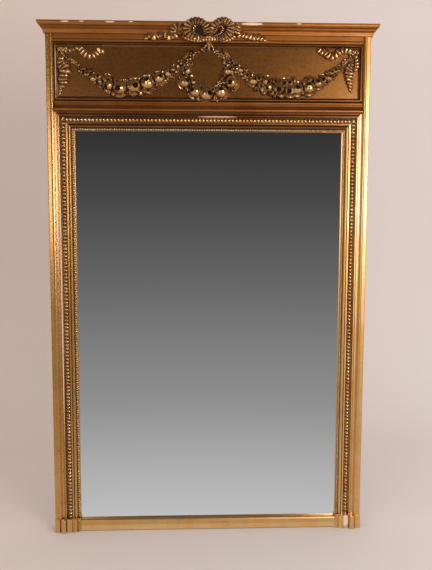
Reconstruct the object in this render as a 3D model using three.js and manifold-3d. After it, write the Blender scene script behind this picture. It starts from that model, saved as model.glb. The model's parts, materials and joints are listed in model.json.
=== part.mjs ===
// Trumeau mirror: a tall glass in a gilded wooden frame, with a carved frieze and a cornice above it.
// Millimetres, +Z up. The front faces -Y and the wall plane is y = 0. Heights below are counted from
// the underside of the base; the finished group is then lowered so that its origin lies on the wall
// plane, on the upper batten, level with the pivots of the two hanging rings.
//
// Depths ("out") are distances in front of the wall plane, so a depth of 46 lies at y = -46.

import * as THREE from 'three';
import { mergeVertices } from 'three/addons/utils/BufferGeometryUtils.js';
import Module from 'manifold-3d';

const manifold = await Module();
manifold.setup();

// ---------------------------------------------------------------- driving dimensions

const JOINT_GAP = 0.3; // glue line between two pieces that touch

// Widths, from the outside inwards
const BODY_WIDTH = 1100;
const BAND_FLAT_WIDTH = 14; // flat part of the outer band
const RIDGE_WIDTH = 12; // rounded ridge along the inside of the outer band
const COVE_WIDTH = 12; // surround moulding: shallow hollow that rises from the ridge
const FILLET_WIDTH = 3;
const QUIRK_WIDTH = 4; // deep groove beside the leaf strip
const LEAF_WIDTH = 17;
const INNER_FILLET_WIDTH = 5;
const GROOVE_WIDTH = 1.5;
const ASTRAGAL_WIDTH = 10.5;
const BEAD_CHANNEL_WIDTH = 11;
const SIGHT_FILLET_WIDTH = 1; // last edge before the glass

// Heights, from the base upwards
const SIGHT_BOTTOM = 42;
const SIGHT_HEIGHT = 1376;
const ARCHITRAVE_HEIGHT = 36;
const PANEL_HEIGHT = 165; // visible height of the frieze panel
const PANEL_MOULDING_WIDTH = 14;
const TOP_BAND_HEIGHT = 26;
const CORNICE_HEIGHT = 38;
const BLOCK_HEIGHT = 49;

// Depths
const CARCASS_DEPTH = 46;
const STANDOFF = 12; // the battens hold the carcass this far off the wall, with room for the rings
const BAND_THICKNESS = 28;
const RIDGE_RISE = 7; // the ridge stands this far in front of the flat of the band
const PANEL_THICKNESS = 14;
const ARCHITRAVE_THICKNESS = 32;
const RAIL_MOULDING_THICKNESS = 24;
const BLOCK_THICKNESS = 34;
const CORNICE_PROJECTION = 24; // beyond the face of the body, at the front and at both sides
const CORNICE_SEAT = 20; // how far the cornice moulding reaches back over the body
const CAP_THICKNESS = 18;

// Carcass
const LEDGE_WIDTH = 20; // rebate behind the sight opening, for the backboards
const REBATE_DEPTH = 30;
const TENON_LENGTH = 30;
const TENON_THICKNESS = 10;
const TENON_SHOULDER = 9; // above and below each tenon
const MIDDLE_RAIL_HEIGHT = 100;
const TOP_RAIL_HEIGHT = 48;

// Glass and back
const GLASS_THICKNESS = 4;
const GLASS_LIP = 10; // hidden behind the moulding on every side
const GLASS_CLEARANCE = 3; // from the edge of the glass to the carcass
const GLASS_SETBACK = 2; // back of the glass in front of the carcass face
const WEDGE_LENGTH = 44;
const WEDGE_SIZE = 14;
const WEDGE_ROWS = 3;
const BACKBOARD_COUNT = 4;
const BACKBOARD_THICKNESS = 10;
const BATTEN_HEIGHT = 70;
const BATTEN_SHARES = [0.22, 0.8]; // places of the two battens up the backboards

// Hanging rings
const RING_WIRE_RADIUS = 2;
const RING_HALF_WIDTH = 13;
const RING_CORNER = 4;
const RING_STRAIGHT = 12; // straight length of each side of the ring
const PLATE_WIDTH = 14;
const PLATE_LENGTH = 62;
const PLATE_THICKNESS = 1.8;
const KNUCKLE_RADIUS = 4;
const KNUCKLE_CLEARANCE = 0.5;
const SCREW_OFFSETS = [40, 54]; // below the pivot
const SCREW_RADIUS = 1.8;
const SCREW_LENGTH = 16;
const SCREW_HEAD_RADIUS = 3.6;
const SCREW_HEAD_HEIGHT = 1.8;

// Carving
const CENTRE_SHIFT = -7; // the bow and wreath sit a little left of the middle
const SWAG_RADIUS = 31; // half the height of a swag at its fullest
const SWAG_STRING_RADIUS = 4.5;
const SWAG_SAG = 119; // lowest point of a swag's middle line below its ends
const SWAG_END_INSET = 27; // outer end of a swag from the panel's edge
const SWAG_END_DROP = 30; // and from the panel's top
const SWAG_CENTRE_OFFSET = 45; // inner end of a swag from the middle of the wreath
const WREATH_HALF_WIDTH = 69;
const WREATH_HALF_HEIGHT = 74;
const WREATH_TOP_RADIUS = 7;
const WREATH_BOTTOM_RADIUS = 30;
const BOW_LOOP_RADIUS = 12;
const BOW_LOOP_HALF_WIDTH = 24;
const BOW_LOOP_HALF_HEIGHT = 25;
const BOW_RISE = 17; // top of the bow above the cornice
const RELIEF = 0.8; // depth of the carving against its height

// ---------------------------------------------------------------- places worked out from them

const BAND_WIDTH = BAND_FLAT_WIDTH + RIDGE_WIDTH;
const LEAF_START = COVE_WIDTH + FILLET_WIDTH + QUIRK_WIDTH;
const LEAF_END = LEAF_START + LEAF_WIDTH;
const ASTRAGAL_START = LEAF_END + INNER_FILLET_WIDTH + GROOVE_WIDTH;
const BEAD_START = ASTRAGAL_START + ASTRAGAL_WIDTH;
const BEAD_END = BEAD_START + BEAD_CHANNEL_WIDTH;
const SURROUND_WIDTH = BEAD_END + SIGHT_FILLET_WIDTH;

const BODY_HALF = BODY_WIDTH / 2;
const INNER_HALF = BODY_HALF - BAND_WIDTH; // inside faces of the two outer bands
const SIGHT_HALF = INNER_HALF - SURROUND_WIDTH;
const PANEL_HALF = INNER_HALF - PANEL_MOULDING_WIDTH;
const GLASS_HALF = SIGHT_HALF + GLASS_LIP;
const OPENING_HALF = GLASS_HALF + GLASS_CLEARANCE; // inner faces of the stiles
const STILE_WIDTH = BODY_HALF - OPENING_HALF;
const LEDGE_HALF = OPENING_HALF + LEDGE_WIDTH;

const SIGHT_TOP = SIGHT_BOTTOM + SIGHT_HEIGHT;
const SURROUND_TOP = SIGHT_TOP + SURROUND_WIDTH;
const ARCHITRAVE_TOP = SURROUND_TOP + ARCHITRAVE_HEIGHT;
const PANEL_BOTTOM = ARCHITRAVE_TOP + PANEL_MOULDING_WIDTH;
const PANEL_TOP = PANEL_BOTTOM + PANEL_HEIGHT;
const TOP_BAND_BOTTOM = PANEL_TOP + PANEL_MOULDING_WIDTH;
const SOFFIT = TOP_BAND_BOTTOM + TOP_BAND_HEIGHT;
const CORNICE_TOP = SOFFIT + CORNICE_HEIGHT;
const GLASS_BOTTOM = SIGHT_BOTTOM - GLASS_LIP;
const GLASS_TOP = SIGHT_TOP + GLASS_LIP;
const OPENING_BOTTOM = GLASS_BOTTOM - GLASS_CLEARANCE;
const OPENING_TOP = GLASS_TOP + GLASS_CLEARANCE;

const SEAT = CARCASS_DEPTH + JOINT_GAP; // back of everything planted on the carcass
const BAND_FACE = CARCASS_DEPTH + BAND_THICKNESS;
const PANEL_FACE = CARCASS_DEPTH + PANEL_THICKNESS;
const GLASS_BACK = CARCASS_DEPTH + GLASS_SETBACK;
const GLASS_FRONT = GLASS_BACK + GLASS_THICKNESS;
const LIP_BACK = GLASS_FRONT + JOINT_GAP;

// The hanging rings are level with the upper batten.
const BACK_BOTTOM = OPENING_BOTTOM - LEDGE_WIDTH + JOINT_GAP;
const BACK_TOP = OPENING_TOP + LEDGE_WIDTH - JOINT_GAP;
const BATTEN_MIDDLES = BATTEN_SHARES.map((share) => BACK_BOTTOM + share * (BACK_TOP - BACK_BOTTOM));
const PIVOT_HEIGHT = BATTEN_MIDDLES[1];
const PIVOT_OFFSET = BODY_HALF - (STILE_WIDTH - LEDGE_WIDTH) / 2;
const PLATE_BACK = STANDOFF - JOINT_GAP;
const PLATE_FACE = PLATE_BACK - PLATE_THICKNESS;
const PIVOT_DEPTH = PLATE_FACE - KNUCKLE_RADIUS;

const CREST_BASE = SOFFIT - TOP_BAND_HEIGHT / 2 - 17; // middle of the knot, over the top band

// ---------------------------------------------------------------- materials

const material = (color, roughness, metalness) =>
  new THREE.MeshStandardMaterial({ color, roughness, metalness });

const gilding = material(0xb37a32, 0.38, 0.75);
const carving = material(0xc08a42, 0.32, 0.8);
const pine = material(0xa5794c, 0.75, 0);
const planks = material(0x8f6a45, 0.8, 0);
const silvering = material(0xb9bcbd, 0.04, 1);
const steel = material(0x6d665c, 0.45, 0.9);
const brass = material(0xa8843f, 0.35, 0.9);

// ---------------------------------------------------------------- geometry helpers

const mirror = new THREE.Group();

function addPiece(name, geometry, finish) {
  const piece = new THREE.Mesh(geometry, finish);
  piece.name = name;
  mirror.add(piece);
  return piece;
}

function outline(points) {
  return new THREE.Shape(points.map(([x, y]) => new THREE.Vector2(x, y)));
}

// Points of an elliptic arc, angles in degrees.
function arc(x, y, radiusX, radiusY, from, to, steps) {
  return Array.from({ length: steps + 1 }, (_, i) => {
    const angle = THREE.MathUtils.degToRad(from + ((to - from) * i) / steps);
    return [x + radiusX * Math.cos(angle), y + radiusY * Math.sin(angle)];
  });
}

// A straight moulding: the section lies in x (across) and y (out), the length runs along z.
// Each end is cut to a mitre: a slope of -1 shortens the bar as it goes across, +1 lengthens it.
function mouldingBar(section, length, startSlope, endSlope) {
  const geometry = new THREE.ExtrudeGeometry(outline(section), { depth: length, bevelEnabled: false });
  const position = geometry.attributes.position;
  for (let i = 0; i < position.count; i += 1) {
    const across = position.getX(i);
    const atEnd = position.getZ(i) > length / 2;
    const trim = atEnd ? endSlope * across - JOINT_GAP / 2 : JOINT_GAP / 2 - startSlope * across;
    position.setZ(i, position.getZ(i) + trim);
  }
  return geometry;
}

// Directions of a bar on each side of a frame: across it (inwards), out of it, and along it.
const FRONT = [0, -1, 0];
const SIDES = {
  left: { across: [1, 0, 0], out: FRONT, along: [0, 0, -1] },
  right: { across: [-1, 0, 0], out: FRONT, along: [0, 0, 1] },
  top: { across: [0, 0, -1], out: FRONT, along: [-1, 0, 0] },
  bottom: { across: [0, 0, 1], out: FRONT, along: [1, 0, 0] },
};

function turnTo(piece, { across, out, along }) {
  const axes = [across, out, along].map((axis) => new THREE.Vector3(...axis));
  piece.setRotationFromMatrix(new THREE.Matrix4().makeBasis(...axes));
}

// One side of a rectangular frame whose outer edges are given by the box.
function addFrameSide(name, side, box, section, finish, startSlope, endSlope) {
  const vertical = side === 'left' || side === 'right';
  const length = vertical ? box.top - box.bottom : 2 * box.half;
  const piece = addPiece(name, mouldingBar(section, length, startSlope, endSlope), finish);
  const x = side === 'left' || side === 'bottom' ? -box.half : box.half;
  const z = side === 'left' || side === 'top' ? box.top : box.bottom;
  turnTo(piece, SIDES[side]);
  piece.position.set(x, 0, z);
  return piece;
}

// A box between two corners, given as x, out and z.
function block([x0, out0, z0], [x1, out1, z1]) {
  const geometry = new THREE.BoxGeometry(x1 - x0, out1 - out0, z1 - z0);
  geometry.translate((x0 + x1) / 2, -(out0 + out1) / 2, (z0 + z1) / 2);
  return geometry;
}

function cylinderAlongY(radius, out0, out1, x, z, sides = 16) {
  const geometry = new THREE.CylinderGeometry(radius, radius, out1 - out0, sides);
  geometry.translate(x, -(out0 + out1) / 2, z);
  return geometry;
}

function toSolid(geometry) {
  const bare = new THREE.BufferGeometry();
  bare.setAttribute('position', geometry.attributes.position.clone());
  if (geometry.index) bare.setIndex(geometry.index.clone());
  const merged = mergeVertices(bare, 1e-4);
  return new manifold.Manifold(
    new manifold.Mesh({
      numProp: 3,
      vertProperties: new Float32Array(merged.attributes.position.array),
      triVerts: new Uint32Array(merged.index.array),
    }),
  );
}

function toGeometry(solid) {
  const mesh = solid.getMesh();
  const geometry = new THREE.BufferGeometry();
  geometry.setAttribute('position', new THREE.BufferAttribute(mesh.vertProperties, 3));
  geometry.setIndex(new THREE.BufferAttribute(mesh.triVerts, 1));
  geometry.computeVertexNormals();
  return geometry;
}

const joined = (geometries) => geometries.map(toSolid).reduce((a, b) => a.add(b));

// The first geometry with all the others cut out of it.
const carved = (geometry, cutters) =>
  toGeometry(cutters.map(toSolid).reduce((body, cutter) => body.subtract(cutter), toSolid(geometry)));

// ---------------------------------------------------------------- carcass

// A post or rail whose inner edge is rebated for the backboards: across, then out from the wall.
function rebatedSection(width) {
  return [
    [0, STANDOFF],
    [width - LEDGE_WIDTH, STANDOFF],
    [width - LEDGE_WIDTH, REBATE_DEPTH],
    [width, REBATE_DEPTH],
    [width, CARCASS_DEPTH],
    [0, CARCASS_DEPTH],
  ];
}

const TENON_MIDDLE = (REBATE_DEPTH + CARCASS_DEPTH) / 2;

// The tongue on a rail's end, or with a clearance the mortise that takes it.
function tenon(side, bottom, top, clearance) {
  const inner = OPENING_HALF - 2 * JOINT_GAP;
  const outer = OPENING_HALF + TENON_LENGTH + clearance;
  const half = TENON_THICKNESS / 2 + clearance;
  const low = bottom + TENON_SHOULDER - clearance;
  const high = top - TENON_SHOULDER + clearance;
  const xs = side < 0 ? [-outer, -inner] : [inner, outer];
  return block([xs[0], TENON_MIDDLE - half, low], [xs[1], TENON_MIDDLE + half, high]);
}

const RAILS = [
  { name: 'bottom_rail', bottom: 0, top: OPENING_BOTTOM, section: 'bottom' },
  { name: 'middle_rail', bottom: OPENING_TOP, top: OPENING_TOP + MIDDLE_RAIL_HEIGHT, section: 'top' },
  { name: 'top_rail', bottom: SOFFIT - TOP_RAIL_HEIGHT, top: SOFFIT, section: 'plain' },
];

function addRail({ name, bottom, top, section }) {
  const half = OPENING_HALF - JOINT_GAP;
  const parts = [block([-half, REBATE_DEPTH, bottom], [half, CARCASS_DEPTH, top])];
  const backBottom = section === 'top' ? bottom + LEDGE_WIDTH : bottom;
  const backTop = section === 'bottom' ? top - LEDGE_WIDTH : top;
  parts.push(block([-half, STANDOFF, backBottom], [half, REBATE_DEPTH + 1, backTop]));
  parts.push(tenon(-1, bottom, top, 0), tenon(1, bottom, top, 0));
  addPiece(name, toGeometry(joined(parts)), pine);
}

function screwHole(x, z, from, to) {
  return cylinderAlongY(SCREW_RADIUS + JOINT_GAP, from, to, x, z);
}

function addStile(name, side) {
  const body = mouldingBar(rebatedSection(STILE_WIDTH), SOFFIT, 0, 0);
  const { across, out, along } = SIDES[name.endsWith('left') ? 'left' : 'right'];
  const axes = [across, out, along].map((axis) => new THREE.Vector3(...axis));
  body.applyMatrix4(new THREE.Matrix4().makeBasis(...axes));
  body.translate(side * BODY_HALF, 0, side < 0 ? SOFFIT : 0);
  const x = side * PIVOT_OFFSET;
  const mortises = RAILS.map(({ bottom, top }) => tenon(side, bottom, top, JOINT_GAP));
  const holeEnd = STANDOFF + SCREW_LENGTH;
  const holes = SCREW_OFFSETS.map((drop) => screwHole(x, PIVOT_HEIGHT - drop, STANDOFF - 1, holeEnd));
  addPiece(name, carved(body, [...mortises, ...holes]), pine);
}

function addCarcass() {
  addStile('stile_left', -1);
  addStile('stile_right', 1);
  RAILS.forEach(addRail);
}

// ---------------------------------------------------------------- glass and back

function addGlass() {
  const low = [-GLASS_HALF, GLASS_BACK, GLASS_BOTTOM];
  const high = [GLASS_HALF, GLASS_FRONT, GLASS_TOP];
  addPiece('mirror_glass', block(low, high), silvering);
}

// Triangular wedges glued inside the carcass press the glass against the moulding.
function addWedges() {
  const section = [
    [0, REBATE_DEPTH + JOINT_GAP],
    [WEDGE_SIZE, GLASS_BACK - JOINT_GAP],
    [0, GLASS_BACK - JOINT_GAP],
  ];
  const spacing = (OPENING_TOP - OPENING_BOTTOM) / (WEDGE_ROWS + 1);
  for (const side of ['left', 'right']) {
    for (let row = 1; row <= WEDGE_ROWS; row += 1) {
      const middle = OPENING_BOTTOM + row * spacing;
      const half = OPENING_HALF - JOINT_GAP;
      const box = { half, bottom: middle - WEDGE_LENGTH / 2, top: middle + WEDGE_LENGTH / 2 };
      addFrameSide(`glass_wedge_${side}_${row}`, side, box, section, planks, 0, 0);
    }
  }
}

function addBackboards() {
  const half = LEDGE_HALF - JOINT_GAP;
  const width = (2 * half) / BACKBOARD_COUNT;
  const face = REBATE_DEPTH - JOINT_GAP;
  for (let i = 0; i < BACKBOARD_COUNT; i += 1) {
    const x = -half + i * width;
    const low = [x + JOINT_GAP, face - BACKBOARD_THICKNESS, BACK_BOTTOM];
    const high = [x + width - JOINT_GAP, face, BACK_TOP];
    addPiece(`backboard_${i + 1}`, block(low, high), planks);
  }
  BATTEN_MIDDLES.forEach((middle, i) => {
    const low = [-half, 0, middle - BATTEN_HEIGHT / 2];
    const high = [half, face - BACKBOARD_THICKNESS - JOINT_GAP, middle + BATTEN_HEIGHT / 2];
    addPiece(`batten_${i === 0 ? 'lower' : 'upper'}`, block(low, high), pine);
  });
}

// ---------------------------------------------------------------- flat gilded frame

function addOuterBands() {
  const radius = RIDGE_WIDTH * 0.42;
  const section = [
    [0, SEAT],
    [0, BAND_FACE - 2],
    [2, BAND_FACE],
    [BAND_FLAT_WIDTH - 0.5, BAND_FACE],
    ...arc(BAND_FLAT_WIDTH + radius, BAND_FACE + 1, radius, RIDGE_RISE - 1, 180, 0, 6),
    [BAND_WIDTH - JOINT_GAP, BAND_FACE],
    [BAND_WIDTH - JOINT_GAP, SEAT],
  ];
  const box = { half: BODY_HALF, bottom: BLOCK_HEIGHT, top: SOFFIT };
  addFrameSide('outer_band_left', 'left', box, section, gilding, 0, 0);
  addFrameSide('outer_band_right', 'right', box, section, gilding, 0, 0);
}

// The section of the moulding round the glass, from its outer edge to the sight edge.
function surroundSection() {
  const quirkFloor = CARCASS_DEPTH + 14;
  const filletFace = BAND_FACE + 1;
  const coveFloor = BAND_FACE - 4;
  const innerFace = CARCASS_DEPTH + 20;
  const beadFloor = CARCASS_DEPTH + 10;
  const astragalRadius = ASTRAGAL_WIDTH / 2;
  return [
    [0, SEAT],
    [0, BAND_FACE - 1],
    [1, BAND_FACE - 1],
    [1.5, coveFloor],
    ...arc(3, filletFace, COVE_WIDTH - 3, filletFace - coveFloor, -80, -10, 4),
    [COVE_WIDTH, filletFace],
    [COVE_WIDTH + FILLET_WIDTH, filletFace],
    [COVE_WIDTH + FILLET_WIDTH, quirkFloor],
    [LEAF_END, quirkFloor],
    [LEAF_END, innerFace],
    [LEAF_END + INNER_FILLET_WIDTH, innerFace],
    [LEAF_END + INNER_FILLET_WIDTH, quirkFloor],
    [ASTRAGAL_START, quirkFloor],
    ...arc(ASTRAGAL_START + astragalRadius, quirkFloor + 1, astragalRadius, 5, 180, 0, 6),
    [BEAD_START, beadFloor],
    [SURROUND_WIDTH, beadFloor],
    [SURROUND_WIDTH, LIP_BACK],
    [SURROUND_WIDTH - GLASS_LIP - GLASS_CLEARANCE, LIP_BACK],
    [SURROUND_WIDTH - GLASS_LIP - GLASS_CLEARANCE, SEAT],
  ];
}

function leafSection() {
  const floor = CARCASS_DEPTH + 14 + JOINT_GAP;
  const crest = BAND_FACE - 2;
  return [
    [JOINT_GAP, floor],
    [JOINT_GAP, crest - 5],
    ...arc(LEAF_WIDTH * 0.36, crest - 5, LEAF_WIDTH * 0.36 - JOINT_GAP, 5, 160, 60, 4),
    [LEAF_WIDTH * 0.8, floor + 5],
    [LEAF_WIDTH - JOINT_GAP, floor + 4],
    [LEAF_WIDTH - JOINT_GAP, floor],
  ];
}

function beadSection() {
  const floor = CARCASS_DEPTH + 10 + JOINT_GAP;
  const radius = BEAD_CHANNEL_WIDTH / 2 - 1;
  return arc(BEAD_CHANNEL_WIDTH / 2, floor + 2, radius, radius + 1, 200, -20, 8);
}

// Three mitred sides of a strip that lies a given way in from the surround's outer edge.
function addThreeSides(name, inset, section, finish) {
  const box = { half: INNER_HALF - inset, bottom: BLOCK_HEIGHT, top: SURROUND_TOP - inset };
  addFrameSide(`${name}_left`, 'left', box, section, finish, -1, 0);
  addFrameSide(`${name}_right`, 'right', box, section, finish, 0, -1);
  addFrameSide(`${name}_top`, 'top', box, section, finish, -1, -1);
}

function addSurround() {
  addThreeSides('surround', 0, surroundSection(), gilding);
  addThreeSides('leaf_strip', LEAF_START, leafSection(), carving);
  addThreeSides('bead_strip', BEAD_START, beadSection(), carving);
}

// The plain bottom rail of the surround, with a soft crown and a lip over the glass.
function addRailMoulding() {
  const face = CARCASS_DEPTH + RAIL_MOULDING_THICKNESS;
  const section = [
    [0, SEAT],
    [0, face - 4],
    [3, face - 1],
    [SIGHT_BOTTOM * 0.5, face],
    [SIGHT_BOTTOM * 0.85, face - 1],
    [SIGHT_BOTTOM * 0.95, face - 3],
    [SIGHT_BOTTOM, face - 8],
    [SIGHT_BOTTOM, LIP_BACK],
    [OPENING_BOTTOM, LIP_BACK],
    [OPENING_BOTTOM, SEAT],
  ];
  const box = { half: SIGHT_HALF - JOINT_GAP, bottom: 0, top: SOFFIT };
  addFrameSide('rail_moulding', 'bottom', box, section, gilding, 0, 0);
}

// The foot of each side repeats the moulding's members as upright flutes, further out.
function blockSection() {
  const flat = CARCASS_DEPTH + BLOCK_THICKNESS;
  const ridge = flat + 9;
  const leafEdge = BAND_WIDTH + LEAF_START;
  const beadEdge = BAND_WIDTH + BEAD_START;
  return [
    [0, SEAT],
    [0, flat - 1],
    [1, flat],
    [BAND_FLAT_WIDTH + 3, flat],
    [BAND_FLAT_WIDTH + 5, flat - 4],
    [BAND_FLAT_WIDTH + 8, flat - 4],
    [BAND_FLAT_WIDTH + 11, ridge - 2],
    [BAND_FLAT_WIDTH + 13, ridge],
    [leafEdge - 9, ridge],
    [leafEdge - 6, ridge - 3],
    [leafEdge - 5, flat - 4],
    [leafEdge - 3, flat - 4],
    [leafEdge - 2, flat],
    [leafEdge + LEAF_WIDTH - 2, flat],
    [leafEdge + LEAF_WIDTH, flat - 5],
    [leafEdge + LEAF_WIDTH + 4, flat - 5],
    [leafEdge + LEAF_WIDTH + 6, flat - 1],
    [beadEdge - 2, flat - 2],
    [beadEdge, flat - 9],
    [beadEdge + 3, flat - 9],
    [beadEdge + 5, flat - 5],
    [beadEdge + 7, flat - 5],
    [beadEdge + 9, flat - 10],
    [BAND_WIDTH + SURROUND_WIDTH, flat - 11],
    [BAND_WIDTH + SURROUND_WIDTH, LIP_BACK],
    [BAND_WIDTH + SURROUND_WIDTH - GLASS_LIP - GLASS_CLEARANCE, LIP_BACK],
    [BAND_WIDTH + SURROUND_WIDTH - GLASS_LIP - GLASS_CLEARANCE, SEAT],
  ];
}

function addBaseBlocks() {
  const box = { half: BODY_HALF, bottom: 0, top: BLOCK_HEIGHT };
  addFrameSide('base_block_left', 'left', box, blockSection(), gilding, 0, 0);
  addFrameSide('base_block_right', 'right', box, blockSection(), gilding, 0, 0);
}

// ---------------------------------------------------------------- frieze and cornice

function addFriezePanel() {
  const low = [-INNER_HALF + JOINT_GAP, SEAT, SURROUND_TOP + JOINT_GAP];
  const high = [INNER_HALF - JOINT_GAP, PANEL_FACE, TOP_BAND_BOTTOM - JOINT_GAP];
  addPiece('frieze_panel', block(low, high), gilding);
}

function addPanelMouldings() {
  const floor = PANEL_FACE + JOINT_GAP;
  const step = PANEL_MOULDING_WIDTH / 4;
  const section = [
    [JOINT_GAP, floor],
    [JOINT_GAP, BAND_FACE - 3],
    [1.5, BAND_FACE - 2],
    [step, BAND_FACE],
    [2 * step, BAND_FACE],
    ...arc(4 * step, BAND_FACE - 1, 2 * step, BAND_FACE - 4 - floor, 180, 265, 4),
    [PANEL_MOULDING_WIDTH, floor],
  ];
  const box = { half: INNER_HALF, bottom: ARCHITRAVE_TOP, top: TOP_BAND_BOTTOM };
  for (const side of Object.keys(SIDES)) {
    addFrameSide(`frieze_moulding_${side}`, side, box, section, gilding, -1, -1);
  }
}

// Across is measured upwards from the bottom edge.
function addArchitrave() {
  const face = PANEL_FACE + ARCHITRAVE_THICKNESS;
  const floor = PANEL_FACE + JOINT_GAP;
  const section = [
    [JOINT_GAP, floor],
    [JOINT_GAP, face - 2],
    [1.5, face],
    [6, face],
    [7.5, face - 2],
    ...arc(ARCHITRAVE_HEIGHT - 9, face - 2, ARCHITRAVE_HEIGHT - 17, 11, 180, 270, 4),
    [ARCHITRAVE_HEIGHT - 8, face - 16],
    [ARCHITRAVE_HEIGHT - 4, face - 16],
    [ARCHITRAVE_HEIGHT - 2.5, face - 18],
    [ARCHITRAVE_HEIGHT - 2.5, floor + 4],
    [ARCHITRAVE_HEIGHT - JOINT_GAP, floor + 4],
    [ARCHITRAVE_HEIGHT - JOINT_GAP, floor],
  ];
  const box = { half: INNER_HALF - JOINT_GAP, bottom: SURROUND_TOP, top: ARCHITRAVE_TOP };
  addFrameSide('architrave', 'bottom', box, section, gilding, 0, 0);
}

// The flat band under the cornice, with one groove along it; across is measured upwards.
function addTopBand() {
  const groove = TOP_BAND_HEIGHT * 0.35;
  const section = [
    [JOINT_GAP, SEAT],
    [JOINT_GAP, BAND_FACE],
    [groove - 1.5, BAND_FACE],
    [groove, BAND_FACE - 3],
    [groove + 1.5, BAND_FACE],
    [TOP_BAND_HEIGHT - JOINT_GAP, BAND_FACE],
    [TOP_BAND_HEIGHT - JOINT_GAP, SEAT],
  ];
  const box = { half: INNER_HALF - JOINT_GAP, bottom: TOP_BAND_BOTTOM, top: SOFFIT };
  addFrameSide('top_band', 'bottom', box, section, gilding, 0, 0);
}

// Across is the projection beyond the body, out is the height above the soffit.
function corniceSection() {
  const fillet = CORNICE_PROJECTION * 0.54;
  const coveTop = CORNICE_HEIGHT * 0.42;
  const filletTop = CORNICE_HEIGHT * 0.56;
  const crownBottom = CORNICE_HEIGHT - 5;
  return [
    [-CORNICE_SEAT, JOINT_GAP],
    [CORNICE_PROJECTION * 0.22, JOINT_GAP],
    [CORNICE_PROJECTION * 0.25, CORNICE_HEIGHT * 0.13],
    ...arc(fillet, CORNICE_HEIGHT * 0.15, CORNICE_PROJECTION * 0.26, coveTop * 0.6, 180, 100, 3),
    [fillet, coveTop],
    [fillet, filletTop],
    [fillet + 1, filletTop + 1],
    ...arc(fillet + 1, crownBottom, CORNICE_PROJECTION * 0.38, crownBottom - filletTop - 1, -80, 0, 4),
    [CORNICE_PROJECTION, crownBottom + 1],
    [CORNICE_PROJECTION, CORNICE_HEIGHT],
    [-CORNICE_SEAT, CORNICE_HEIGHT],
  ];
}

const CORNICE_RUNS = {
  cornice_front: { across: [0, -1, 0], out: [0, 0, 1], along: [-1, 0, 0] },
  cornice_return_left: { across: [-1, 0, 0], out: [0, 0, 1], along: [0, 1, 0] },
  cornice_return_right: { across: [1, 0, 0], out: [0, 0, 1], along: [0, -1, 0] },
};

function addCornice() {
  const section = corniceSection();
  const front = addPiece('cornice_front', mouldingBar(section, BODY_WIDTH, 1, 1), gilding);
  const depth = BAND_FACE - STANDOFF;
  const left = addPiece('cornice_return_left', mouldingBar(section, depth, 1, 0), gilding);
  const right = addPiece('cornice_return_right', mouldingBar(section, depth, 0, 1), gilding);
  for (const run of [front, left, right]) turnTo(run, CORNICE_RUNS[run.name]);
  front.position.set(BODY_HALF, -BAND_FACE, SOFFIT);
  left.position.set(-BODY_HALF, -BAND_FACE, SOFFIT);
  right.position.set(BODY_HALF, -STANDOFF, SOFFIT);
  const half = BODY_HALF - CORNICE_SEAT - JOINT_GAP;
  const low = [-half, STANDOFF, SOFFIT + JOINT_GAP];
  const high = [half, BAND_FACE - CORNICE_SEAT - JOINT_GAP, SOFFIT + CAP_THICKNESS];
  addPiece('cap_board', block(low, high), pine);
}

// ---------------------------------------------------------------- carving

// A tube of varying size along points that lie in an upright plane. Each point is
// { x, out, z, radius }; the tube is flattened front to back by RELIEF.
function variableTube(points, sides, closed) {
  const count = points.length;
  const vertices = [];
  for (let i = 0; i < count; i += 1) {
    const before = points[closed ? (i + count - 1) % count : Math.max(i - 1, 0)];
    const after = points[closed ? (i + 1) % count : Math.min(i + 1, count - 1)];
    const run = new THREE.Vector2(after.x - before.x, after.z - before.z).normalize();
    const { x, out, z, radius } = points[i];
    for (let j = 0; j < sides; j += 1) {
      const angle = (2 * Math.PI * j) / sides;
      const aside = radius * Math.cos(angle);
      const forward = radius * RELIEF * Math.sin(angle);
      vertices.push(x - run.y * aside, -(out + forward), z + run.x * aside);
    }
  }
  const faces = [];
  for (let i = 0; i < (closed ? count : count - 1); i += 1) {
    for (let j = 0; j < sides; j += 1) {
      const a = i * sides + j;
      const b = i * sides + ((j + 1) % sides);
      const c = ((i + 1) % count) * sides + ((j + 1) % sides);
      const d = ((i + 1) % count) * sides + j;
      faces.push(a, b, c, a, c, d);
    }
  }
  if (!closed) {
    const last = (count - 1) * sides;
    for (let j = 1; j < sides - 1; j += 1) {
      faces.push(0, j + 1, j, last, last + j, last + j + 1);
    }
  }
  const geometry = new THREE.BufferGeometry();
  geometry.setAttribute('position', new THREE.BufferAttribute(new Float32Array(vertices), 3));
  geometry.setIndex(faces);
  return geometry;
}

function ellipsoid(x, out, z, halfWidth, halfHeight, depth) {
  const geometry = new THREE.IcosahedronGeometry(1, 1);
  geometry.scale(halfWidth, depth, halfHeight);
  geometry.translate(x, -out, z);
  return geometry;
}

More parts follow.
